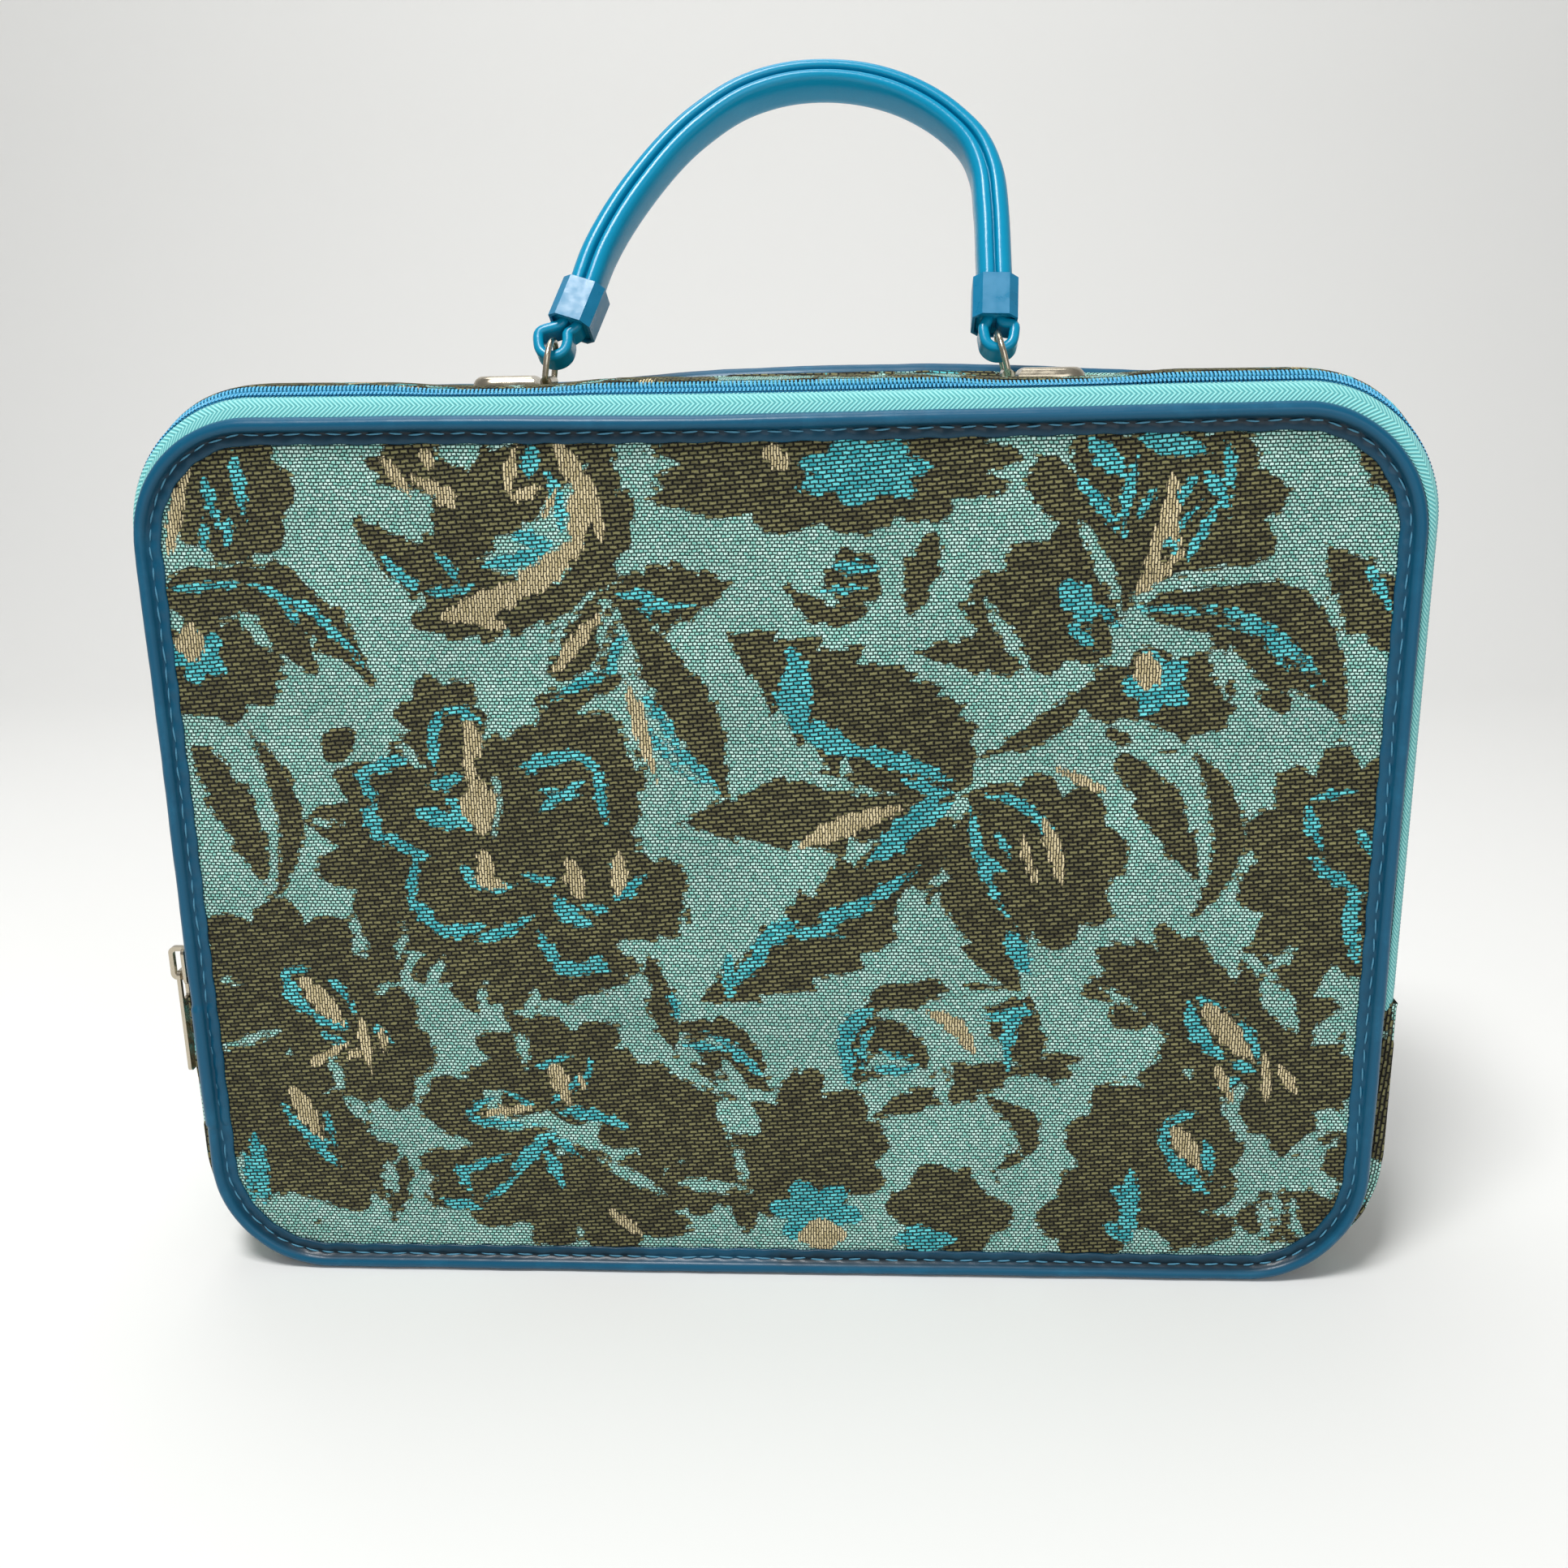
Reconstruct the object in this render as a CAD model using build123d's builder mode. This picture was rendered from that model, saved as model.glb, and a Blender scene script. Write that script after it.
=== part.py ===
"""Zip-round brocade overnight bag: a stiffened case with a fold-down front,
vinyl bindings, a coil zip on three sides and a looped strap handle on two rings.

Frame: millimetres, +Z up, the front faces -Y and the zip slider is on the -X side.
The origin is under the middle of the bag, on the surface that it stands on.
"""

import os
from collections import namedtuple
from math import atan2, cos, degrees, hypot, pi, radians, sin

from build123d import *

# Overall sizes
front_width = 400.0
front_height = 292.5
corner_radius = 40.0
bag_depth = 100.0

# The side band stands a little outside the front binding, the back binding a little more
band_flare = 2.5
band_rise = 6.0
back_proud = 0.5

# Bindings: a corded bead with a flange that laps on to the panel
bead_diameter = 7.0
flange_thickness = 0.8
flange_reach = 10.5
overlap_thickness = 0.6
overlap_low = 55.0

# Panels and side band, from the outside in
cloth_thickness = 1.0
panel_cloth = 0.8
board_thickness = 2.0
stiffener_thickness = 2.2
lining_thickness = 0.8
panel_margin = 7.2
lining_margin = 8.0
lip_reach = 8.0
seam_gap = 0.3

# The front folds down at the ends of the zip
fold_height = 100.0
fold_gap = 0.3

# Zip
tape_thickness = 0.7
body_tape_width = 8.1
zip_setback = 13.9
zip_low = fold_height + 4.0
row_gap = 1.0
row_core = 1.2
row_tooth = 1.0
row_thickness = 2.1
tooth_pitch = 2.5
flat_tape = 2.4

# Slider and pull
slider_length = 13.0
slider_width = 10.0
slider_plate = 1.3
slider_clearance = 0.3
slider_low = fold_height + 3.5
web_thickness = 0.4
bridge_width = 2.0
bridge_rise = 4.3
bridge_bar = 1.5
pull_length = 37.0
pull_width = 7.0
pull_thickness = 1.2
pull_rail = 1.5
pull_bar = 1.6
pull_eye = 9.0

# Handle plates and rings
ring_spacing = 149.6
wire_diameter = 2.0
ring_half_width = 7.75
ring_leg = 5.6
ring_corner = 2.0
ring_tilt_left = 8.6
ring_tilt_right = 14.6
knuckle_diameter = 3.8
knuckle_length = 11.0
knuckle_play = 0.08
plate_length = 22.0
plate_width = 15.0
plate_height = 4.2
plate_metal = 0.9
rivet_diameter = 2.4
rivet_play = 0.05
rivet_pitch = 9.0
rivet_head = 4.4
washer_thickness = 1.0

# Handle strap: two padded layers, turned into a loop at each end
handle_lean = 28.0
strap_rise = 103.2
strap_width = 13.0
strap_thickness = 9.0
layer_overlap = 0.2
layer_round = 1.6
loop_cut = 1.1
strap_end = 4.5
loop_width = 9.0
loop_strand = 3.8
loop_radius = 4.8
loop_drop = 1.5
loop_knee = 9.4
loop_bend = 2.2
loop_gap = 1.2
loop_root_left = 72.9
loop_root_right = 72.1
clip_length = 14.5
clip_wall = 1.0
clip_play = 0.2
clip_cut = 2.4
root_width = 13.4
root_thickness = 12.2
clip_lean_left = 19.0
clip_lean_right = 2.0

# Woven figure: fields of thicker yarn on the plain ground, drawn for this size of front
figure_width = 400.0
figure_height = 292.5
figure_thickness = 0.3
figure_margin = 11.0
petal_notch = 0.84
tooth_notch = 0.7

# Flowers: x, z, half width, half height, petals
olive_flowers = [
    (-167, 265, 22, 24, 7), (-178, 215, 22, 18, 8), (-99, 156, 53, 38, 13), (-65, 177, 24, 25, 8),
    (-86, 125, 43, 25, 10), (20, 278, 55, 22, 13), (118, 262, 37, 27, 9), (85, 232, 24, 21, 7),
    (120, 203, 23, 16, 8), (178, 148, 30, 39, 11), (-167, 106, 34, 30, 9), (-162, 43, 28, 26, 7),
    (-136, 84, 18, 24, 6), (-75, 76, 31, 20, 8), (-80, 32, 48, 22, 10), (10, 44, 29, 26, 8),
    (57, 24, 21, 19, 6), (127, 109, 26, 19, 8), (160, 88, 36, 30, 11), (126, 47, 30, 33, 9),
    (87, 149, 25, 29, 8),
]
blue_flowers = [
    (-183, 218, 9, 10, 5), (28, 276, 19, 11, 7), (119, 208, 10, 11, 5), (-154, 101, 11, 12, 5),
    (151, 94, 12, 13, 5), (136, 53, 10, 13, 5), (10, 24, 15, 11, 6),
]
beige_flowers = [
    (116, 212, 5, 6, 4), (-154, 103, 6, 7, 4), (150, 95, 7, 7, 4), (135, 54, 5, 8, 4), (-96, 170, 6, 12, 4),
]

# Leaves and stripes: from x, z to x, z, width, bend, teeth on each edge
olive_leaves = [
    (-188, 244, -126, 207, 21, 12, 3), (-52, 283, -108, 227, 29, -14, 5), (-53, 233, -13, 241, 24, 0, 4),
    (-44, 224, -16, 171, 19, 4, 4), (-79, 240, -130, 263, 21, 7, 4), (62, 176, -14, 225, 43, 0, 6),
    (57, 171, -31, 163, 30, 0, 5), (56, 164, -27, 101, 37, 7, 6), (62, 167, 78, 103, 29, -3, 3),
    (114, 233, 177, 195, 25, 12, 3), (108, 186, 135, 142, 16, 3, 3), (-188, 190, -169, 141, 17, 3, 3),
    (190, 218, 168, 250, 22, 0, 3), (25, 71, 63, 108, 18, 13, 4), (62, 107, 85, 73, 20, 6, 3),
    (81, 77, 31, 59, 16, -3, 3), (-31, 88, -2, 68, 12, 0, 3), (-43, 117, -35, 81, 12, 0, 3),
    (-134, 136, -128, 105, 16, 0, 2),
]
blue_leaves = [
    (-175, 248, -158, 278, 4, 2, 1), (-182, 242, -132, 217, 3, 10, 1), (-120, 248, -64, 257, 5, -8, 2),
    (-127, 181, -118, 134, 5, 4, 2), (-113, 132, -81, 130, 5, -6, 2), (-69, 133, -46, 146, 5, -3, 1),
    (3, 219, 12, 191, 10, 2, 2), (10, 196, 61, 175, 9, 2, 3), (11, 135, -20, 109, 8, -3, 2),
    (63, 169, 81, 110, 4, -3, 1), (112, 236, 98, 274, 4, 0, 1), (123, 235, 143, 266, 4, 0, 1),
    (119, 233, 169, 204, 3, 10, 1), (171, 150, 185, 132, 5, -3, 1), (-183, 53, -182, 20, 8, 0, 2),
    (118, 44, 116, 14, 7, 0, 2), (-109, 58, -75, 67, 5, 0, 1), (27, 98, 26, 72, 6, -3, 2),
]
beige_leaves = [
    (-183, 246, -174, 271, 6, 1, 1), (-56, 268, -99, 236, 10, -11, 2), (-95, 194, -94, 182, 8, 0, 1),
    (40, 168, 8, 155, 8, 1, 1), (115, 234, 120, 270, 10, 0, 1), (-167, 68, -161, 46, 7, 0, 1),
    (-75, 82, -73, 63, 7, 0, 1), (41, 90, 64, 77, 6, 5, 1),
]

Outline = namedtuple("Outline", "width height radius")
front_line = Outline(front_width, front_height, corner_radius)
band_line = Outline(
    front_width + 2 * band_flare,
    front_height + band_rise,
    corner_radius + band_flare,
)
back_line = Outline(
    band_line.width + 2 * back_proud,
    band_line.height + back_proud,
    band_line.radius + back_proud,
)

y_front = -bag_depth / 2
y_back = bag_depth / 2
bead_radius = bead_diameter / 2
y_front_bead = y_front + bead_radius
y_back_bead = y_back - bead_radius
y_front_lip = y_front + bead_diameter + seam_gap
y_back_lip = y_back - bead_diameter - seam_gap
y_front_stiff = y_front_lip + cloth_thickness + seam_gap
y_back_stiff = y_back_lip - cloth_thickness - seam_gap
y_zip = y_front + zip_setback
y_lid_tip = y_zip - row_gap / 2
y_body_tip = y_zip + row_gap / 2
row_width = row_core + row_tooth
y_lid_row = y_lid_tip - row_width
y_body_row = y_body_tip + row_width
y_tape_back = y_body_row + body_tape_width
y_stiff_open = y_zip + slider_width / 2 + 2 * slider_clearance
top_z = band_line.height

os.makedirs("parts", exist_ok=True)


def at_depth(y):
    """The upright plane at depth y, with X across and Z up."""
    return Plane.XZ.offset(-y)


def slab(line, y0, y1, inset, mode=Mode.ADD):
    """Fill an outline, drawn in by inset, from depth y0 to depth y1."""
    with BuildSketch(at_depth(y1)) as face:
        with Locations((0, line.height / 2)):
            RectangleRounded(line.width - 2 * inset, line.height - 2 * inset, line.radius - inset)
    extrude(face.sketch, amount=y1 - y0, mode=mode)


def band(line, y0, y1, outer, inner, mode=Mode.ADD):
    """A wall that follows an outline between two insets, from depth y0 to depth y1."""
    with BuildSketch(at_depth(y1)) as face:
        with Locations((0, line.height / 2)):
            RectangleRounded(line.width - 2 * outer, line.height - 2 * outer, line.radius - outer)
            RectangleRounded(
                line.width - 2 * inner, line.height - 2 * inner, line.radius - inner,
                mode=Mode.SUBTRACT,
            )
    extrude(face.sketch, amount=y1 - y0, mode=mode)


def clear_above(z, y0, y1):
    """Cut away all that lies above height z between two depths."""
    with BuildSketch(Plane.XY.offset(z)) as face:
        with Locations((0, (y0 + y1) / 2)):
            Rectangle(2 * front_width, y1 - y0)
    extrude(face.sketch, amount=2 * front_height, mode=Mode.SUBTRACT)


def keep_above(z):
    split(bisect_by=Plane.XY.offset(z), keep=Keep.TOP)


def keep_below(z):
    split(bisect_by=Plane.XY.offset(z), keep=Keep.BOTTOM)


def bead(line, y):
    """A round cord that follows an outline, half of it swept and then mirrored."""
    side = line.width / 2 - bead_radius
    low = bead_radius
    high = line.height - bead_radius
    with BuildLine(at_depth(y)) as path:
        FilletPolyline((0, low), (side, low), (side, high), (0, high), radius=line.radius - bead_radius)
    with BuildSketch(Plane(origin=(0, y, low), z_dir=(1, 0, 0))) as face:
        Circle(bead_radius)
    sweep(face.sketch, path=path.line)
    mirror(about=Plane.YZ)


def save(piece, name):
    piece.part.label = name
    export_step(piece.part, f"parts/{name}.step")


def front_binding_form():
    bead(front_line, y_front_bead)
    y_flange = y_front_bead - flange_thickness / 2
    band(front_line, y_flange, y_flange + flange_thickness, bead_radius + 1.5, flange_reach)


# Back panel, between the two turned edges of its binding
y_back_cloth = y_back_bead - flange_thickness / 2
with BuildPart() as back_binding:
    bead(back_line, y_back_bead)
    band(back_line, y_back_cloth, y_back_cloth + flange_thickness, bead_radius + 1.5, flange_reach)
save(back_binding, "back_binding")

with BuildPart() as back_fabric:
    slab(back_line, y_back_cloth - panel_cloth, y_back_cloth, panel_margin)
save(back_fabric, "back_fabric")

y_back_board = y_back_cloth - panel_cloth - board_thickness
with BuildPart() as back_board:
    slab(back_line, y_back_board, y_back_board + board_thickness, panel_margin)
save(back_board, "back_board")

with BuildPart() as back_lining:
    slab(back_line, y_back_board - lining_thickness, y_back_board, lining_margin + back_proud + seam_gap)
save(back_lining, "back_lining")

# Side band: brocade outside, stiffener, lining. Below the fold it reaches the front binding,
# and a turned edge closes it against the bead. Above the fold it stops behind the zip.
stiff_outer = cloth_thickness
stiff_inner = cloth_thickness + stiffener_thickness
lining_inner = stiff_inner + lining_thickness
low_edge = fold_height - fold_gap

rivet_xs = [
    side * (ring_spacing / 2 + knuckle_diameter / 2 + plate_length / 2 + step * rivet_pitch / 2)
    for side in (-1, 1)
    for step in (-1, 1)
]


def rivet_holes():
    """Pierce the top of the side band for the rivets of both handle plates."""
    with BuildSketch(Plane.XY.offset(top_z)) as holes:
        with Locations([(x, 0) for x in rivet_xs]):
            Circle(rivet_diameter / 2 + rivet_play)
    extrude(holes.sketch, amount=-2 * lining_inner, mode=Mode.SUBTRACT)


with BuildPart() as gusset_fabric:
    band(band_line, y_front_lip, y_back_lip, 0, cloth_thickness)
    band(band_line, y_front_lip, y_front_lip + cloth_thickness, 0, lip_reach)
    band(band_line, y_back_lip - cloth_thickness, y_back_lip, 0, lip_reach)
    clear_above(low_edge, y_front, y_body_row + 0.1)
    rivet_holes()
save(gusset_fabric, "gusset_fabric")

with BuildPart() as tape_seat:
    band(band_line, y_front, y_tape_back, 0, stiff_outer + tape_thickness)
    keep_above(low_edge)

with BuildPart() as gusset_stiffener:
    band(band_line, y_front_stiff, y_back_stiff, stiff_outer, stiff_inner)
    clear_above(low_edge, y_front, y_stiff_open)
    add(tape_seat.part, mode=Mode.SUBTRACT)
    rivet_holes()
save(gusset_stiffener, "gusset_stiffener")

with BuildPart() as gusset_lining:
    band(band_line, y_front_stiff, y_back_stiff, stiff_inner, lining_inner)
    clear_above(low_edge, y_front, y_stiff_open)
    rivet_holes()
save(gusset_lining, "gusset_lining")

# Front panel: one board, cloth and lining, which bend along the fold
y_front_flange = y_front_bead + flange_thickness / 2
y_front_board = y_front_flange + panel_cloth
y_front_lining = y_front_board + board_thickness


def front_layer(name, y0, y1, inset):
    for suffix, keep in (("", keep_above), ("_lower", keep_below)):
        with BuildPart() as layer:
            slab(front_line, y0, y1, inset)
            keep(fold_height + fold_gap if not suffix else low_edge)
        save(layer, name + suffix)


front_layer("front_fabric", y_front_flange, y_front_board, panel_margin)
front_layer("front_board", y_front_board, y_front_lining, panel_margin)
front_layer("front_lining", y_front_lining, y_front_lining + lining_thickness, lining_margin)

with BuildPart() as front_binding:
    front_binding_form()
    keep_above(fold_height + fold_gap)
save(front_binding, "front_binding")

# Woven figure on the front: each colour is one field, and the lighter ones lie inside the darker
def flower_rim(x, z, half_width, half_height, petals):
    """A scalloped oval: two shoulders and one notch for each petal."""
    rim = []
    for step in range(3 * petals):
        angle = 2 * pi * step / (3 * petals)
        reach = petal_notch if step % 3 == 0 else 1.0
        rim.append((x + half_width * reach * cos(angle), z + half_height * reach * sin(angle)))
    return rim


def leaf_rim(x0, z0, x1, z1, width, bend, teeth):
    """A bent leaf: as wide as a sine along its midrib, with saw teeth that point to the tip."""
    ahead = Vector(x1 - x0, z1 - z0)
    side = Vector(-ahead.Y, ahead.X).normalized()
    edges = ([], [])
    for step in range(2 * teeth):
        share = (step // 2 + 0.25 + 0.7 * (step % 2)) / (teeth + 0.2)
        reach = width / 2 * sin(pi * share) * (1.0 if step % 2 == 0 or teeth == 1 else tooth_notch)
        middle = Vector(x0, z0) + ahead * share + side * (4 * bend * share * (1 - share))
        edges[0].append(middle + side * reach)
        edges[1].append(middle - side * reach)
    rim = [Vector(x0, z0), *edges[1], Vector(x1, z1), *reversed(edges[0])]
    return [(point.X, point.Y) for point in rim]


def field(flowers, leaves):
    """One colour's field on the front, inside the binding."""
    wider = front_width / figure_width
    taller = front_height / figure_height
    with BuildSketch(at_depth(y_front_flange)) as face:
        for rim in [flower_rim(*row) for row in flowers] + [leaf_rim(*row) for row in leaves]:
            with BuildLine():
                Polyline(*[(x * wider, z * taller) for x, z in rim], close=True)
            make_face()
        with Locations((0, front_height / 2)):
            RectangleRounded(
                front_width - 2 * figure_margin,
                front_height - 2 * figure_margin,
                corner_radius - figure_margin,
                mode=Mode.INTERSECT,
            )
    return face.sketch


olive_field = field(olive_flowers, olive_leaves)
blue_field = field(blue_flowers, blue_leaves)
beige_field = field(beige_flowers, beige_leaves)
for name, face, inlays in (
    ("front_olive_flowers", olive_field, (blue_field, beige_field)),
    ("front_blue_petals", blue_field, (beige_field,)),
    ("front_beige_hearts", beige_field, ()),
):
    with BuildPart() as whole_figure:
        extrude(face, amount=figure_thickness)
        for inlay in inlays:
            extrude(inlay, amount=figure_thickness, mode=Mode.SUBTRACT)
    with BuildPart() as upper_figure:
        add(whole_figure.part)
        keep_above(fold_height + fold_gap)
    save(upper_figure, name)
    with BuildPart() as lower_figure:
        add(whole_figure.part)
        keep_below(fold_height - fold_gap)
    save(lower_figure, f"{name}_lower")

# The two ends of the binding lap over each other low on the slider side
with BuildPart() as front_binding_lower:
    front_binding_form()
    with BuildSketch(Plane.XY.offset(overlap_low)):
        with Locations((-front_width / 2 + bead_radius, y_front_bead)):
            Circle(bead_radius + overlap_thickness)
            with Locations((bead_radius, bead_radius)):
                Rectangle(2 * bead_diameter, bead_diameter, mode=Mode.SUBTRACT)
    extrude(amount=low_edge - overlap_low)
    keep_below(low_edge)
save(front_binding_lower, "front_binding_lower")

# Zip tapes
tape_outer = cloth_thickness
tape_inner = cloth_thickness + tape_thickness
with BuildPart() as body_zip_tape:
    band(band_line, y_body_row, y_tape_back, tape_outer, tape_inner)
    keep_above(fold_height + fold_gap)
save(body_zip_tape, "body_zip_tape")

y_bend = y_lid_row - flat_tape
y_sewn = y_front_bead + bead_radius - 0.4


def tape_slope(inset, mode=Mode.ADD):
    """The slope of the lid's tape, from the binding up to the level of the zip."""
    with BuildSketch(at_depth(y_sewn)) as sewn:
        with Locations((0, front_line.height / 2)):
            RectangleRounded(
                front_line.width - 2 * inset, front_line.height - 2 * inset, front_line.radius - inset
            )
    with BuildSketch(at_depth(y_bend)) as bend:
        with Locations((0, band_line.height / 2)):
            RectangleRounded(
                band_line.width - 2 * inset, band_line.height - 2 * inset, band_line.radius - inset
            )
    loft([sewn.sketch, bend.sketch], ruled=True, mode=mode)


with BuildPart() as lid_zip_tape:
    tape_slope(tape_outer)
    tape_slope(tape_inner, mode=Mode.SUBTRACT)
    band(band_line, y_bend, y_lid_row, tape_outer, tape_inner)
    keep_above(fold_height + fold_gap)
save(lid_zip_tape, "lid_zip_tape")


# Zip rows: a core with pointed coil turns that face the other row
row_outer = (tape_outer + tape_inner - row_thickness) / 2
row_inner = row_outer + row_thickness


def zip_row(y_base, y_core, y_tip):
    """Half a row on the slider side, swept round the outline, and then mirrored."""
    side = band_line.width / 2
    arc = band_line.radius
    band(band_line, min(y_base, y_core), max(y_base, y_core), row_outer, row_inner)
    keep_above(zip_low)
    split(bisect_by=Plane.YZ, keep=Keep.BOTTOM)
    straight = band_line.height - arc - zip_low
    along_side = int(straight / tooth_pitch)
    along_top = int((side - arc) / tooth_pitch)
    reach = (arc - row_outer) * pi / 2
    around = int(reach / tooth_pitch)

    def turns(plane, count, pitch):
        corners = [(0, y_core)]
        for step in range(count):
            corners.append(((step + 0.5) * pitch, y_tip))
            corners.append(((step + 1) * pitch, y_core))
        with BuildSketch(plane) as zigzag:
            with BuildLine():
                Polyline(*corners, (count * pitch, y_core + (y_core - y_tip) * 0.2),
                         (0, y_core + (y_core - y_tip) * 0.2), close=True)
            make_face()
        extrude(zigzag.sketch, amount=row_thickness)

    upright = Plane(origin=(-side + row_inner, 0, zip_low), x_dir=(0, 0, 1), z_dir=(-1, 0, 0))
    turns(upright, along_side, straight / along_side)
    level = Plane(origin=(-side + arc, 0, top_z - row_inner), x_dir=(1, 0, 0), z_dir=(0, 0, 1))
    turns(level, along_top, (side - arc) / along_top)
    for step in range(around):
        angle = (step + 0.5) / around * pi / 2
        outward = Vector(-cos(angle), 0, sin(angle))
        tangent = Vector(sin(angle), 0, cos(angle))
        centre = Vector(-side + arc, 0, top_z - arc)
        start = centre + outward * (arc - row_inner)
        half = (arc - row_outer) * pi / 4 / around * 0.9
        with BuildSketch(Plane(origin=start, x_dir=tangent, z_dir=outward)) as turn:
            with BuildLine():
                Polyline((-half, y_core), (half, y_core), (0, y_tip), close=True)
            make_face()
        extrude(turn.sketch, amount=row_thickness)
    mirror(about=Plane.YZ)


with BuildPart() as lid_zip_row:
    zip_row(y_lid_row, y_lid_row + row_core, y_lid_tip)
save(lid_zip_row, "lid_zip_row")

with BuildPart() as body_zip_row:
    zip_row(y_body_row, y_body_row - row_core, y_body_tip)
save(body_zip_row, "body_zip_row")

# Slider: two plates joined by a thin web between the rows, with an arched bridge
x_band = -band_line.width / 2
x_outer = x_band - slider_clearance
x_inner = x_band + row_inner + 2 * slider_clearance - 0.2
slider_high = slider_low + slider_length
x_bridge = x_outer - slider_plate
with BuildPart() as zip_slider:
    with BuildSketch(Plane.YZ.offset(x_bridge)):
        with Locations((y_zip, (slider_low + slider_high) / 2)):
            RectangleRounded(slider_width, slider_length, 2.0)
    extrude(amount=slider_plate)
    fillet(zip_slider.faces().sort_by(Axis.X)[0].edges(), 0.5)
    with BuildSketch(Plane.YZ.offset(x_inner)):
        with Locations((y_zip, (slider_low + slider_high) / 2)):
            RectangleRounded(slider_width, slider_length, 2.0)
    extrude(amount=slider_plate)
    with BuildSketch(Plane.YZ.offset(x_outer)):
        with Locations((y_zip, slider_low + 2.0)):
            Rectangle(web_thickness, 4.0)
    extrude(amount=x_inner - x_outer)
    with BuildSketch(Plane.XZ.offset(-y_zip)):
        with Locations((x_bridge - (bridge_rise + bridge_bar) / 2 + 0.3, (slider_low + slider_high) / 2)):
            RectangleRounded(bridge_rise + bridge_bar + 0.6, slider_length - 1.0, 2.2)
        with Locations((x_bridge - bridge_rise / 2 + 0.6, (slider_low + slider_high) / 2)):
            RectangleRounded(bridge_rise + 1.2, slider_length - 1.0 - 2 * bridge_bar, 1.1, mode=Mode.SUBTRACT)
        with Locations((x_bridge + 1.5, (slider_low + slider_high) / 2)):
            Rectangle(3.0, slider_length + 1.0, mode=Mode.SUBTRACT)
    extrude(amount=bridge_width / 2, both=True)
save(zip_slider, "zip_slider")

# Pull: hangs by its upper bar inside the bridge
x_pull = x_bridge - bridge_rise / 2
z_pull = slider_low + 3.5
with BuildPart() as zip_pull:
    with BuildSketch(Plane.YZ.offset(x_pull - pull_thickness / 2)):
        with Locations((y_zip, z_pull + pull_bar / 2 - pull_length / 2)):
            RectangleRounded(pull_width, pull_length, 1.5)
        with Locations((y_zip, z_pull - pull_bar / 2 - pull_eye / 2)):
            RectangleRounded(pull_width - 2 * pull_rail, pull_eye, 0.8, mode=Mode.SUBTRACT)
    extrude(amount=pull_thickness)
save(zip_pull, "zip_pull")

# Handle plates: a pressed dome with its end rolled round the ring's bar
z_knuckle = top_z + knuckle_diameter / 2 + 0.2
for side, name in ((-1, "left"), (1, "right")):
    x_knuckle = side * ring_spacing / 2
    x_root = side * (ring_spacing / 2 + knuckle_diameter / 2 + 1.2)
    x_tip = x_root + side * plate_length
    with BuildPart() as plate:
        with BuildSketch(Plane.XY.offset(top_z)):
            with Locations(((x_root + x_tip) / 2, 0)):
                SlotCenterToCenter(plate_length - plate_width, plate_width)
            with Locations((x_root + side * plate_width / 4, 0)):
                Rectangle(plate_width / 2, plate_width)
        extrude(amount=plate_height)
        fillet(plate.faces().sort_by(Axis.Z)[-1].edges(), plate_height - plate_metal)
        offset(amount=-plate_metal, openings=plate.faces().sort_by(Axis.Z)[0])
        with BuildSketch(Plane.XZ):
            with Locations((x_knuckle, z_knuckle)):
                Circle(knuckle_diameter / 2)
            with Locations(((x_knuckle + x_root) / 2 + side * 0.4, top_z + 0.2 + plate_metal / 2)):
                Rectangle(abs(x_root - x_knuckle) + 0.8, plate_metal)
            with Locations((x_knuckle, z_knuckle)):
                Circle(wire_diameter / 2 + knuckle_play, mode=Mode.SUBTRACT)
        extrude(amount=knuckle_length / 2, both=True)
    save(plate, f"handle_plate_{name}")

    xs = [x for x in rivet_xs if x * side > 0]
    z_washer = top_z - lining_inner - washer_thickness
    with BuildPart() as washer:
        with BuildSketch(Plane.XY.offset(z_washer)):
            with Locations((sum(xs) / 2, 0)):
                RectangleRounded(rivet_pitch + 2 * rivet_head, 2 * rivet_head, 2.0)
            with Locations([(x, 0) for x in xs]):
                Circle(rivet_diameter / 2 + rivet_play, mode=Mode.SUBTRACT)
        extrude(amount=washer_thickness)
    save(washer, f"handle_washer_{name}")

    with BuildPart() as rivets:
        with BuildSketch(Plane.XY.offset(z_washer - 0.8)):
            with Locations([(x, 0) for x in xs]):
                Circle(rivet_head / 2)
        extrude(amount=0.8)
        with BuildSketch(Plane.XY.offset(z_washer)):
            with Locations([(x, 0) for x in xs]):
                Circle(rivet_diameter / 2)
        extrude(amount=top_z + plate_height - plate_metal - z_washer)
    save(rivets, f"handle_rivets_{name}")

# Rings: bent wire, a straight bar below and a half circle above
for side, tilt, name in ((-1, ring_tilt_left, "left"), (1, ring_tilt_right, "right")):
    lean = radians(tilt)
    rise_dir = Vector(-side * sin(lean), 0, cos(lean))
    plane = Plane(
        origin=(side * ring_spacing / 2, 0, z_knuckle),
        x_dir=(0, 1, 0),
        z_dir=(rise_dir.Z, 0, -rise_dir.X),
    )
    w = ring_half_width
    with BuildPart() as ring:
        with BuildLine(plane):
            FilletPolyline((0, 0), (w, 0), (w, ring_leg), radius=ring_corner)
            CenterArc((0, ring_leg), w, 0, 90)
        with BuildSketch(Plane(origin=plane.origin, z_dir=(0, 1, 0))):
            Circle(wire_diameter / 2)
        sweep()
        mirror(about=Plane.XZ)
    save(ring, f"ring_{name}")

# Handle: drawn in its own leaning plane, u across and v up along the lean
lean = radians(handle_lean)
z_swing = z_knuckle + ring_leg * cos(radians((ring_tilt_left + ring_tilt_right) / 2))
handle_plane = Plane(origin=(0, 0, z_swing), x_dir=(1, 0, 0), z_dir=(0, -cos(lean), sin(lean)))
half_span = ring_spacing / 2


def handle_point(u, v):
    return (u * half_span, v * strap_rise)


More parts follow.
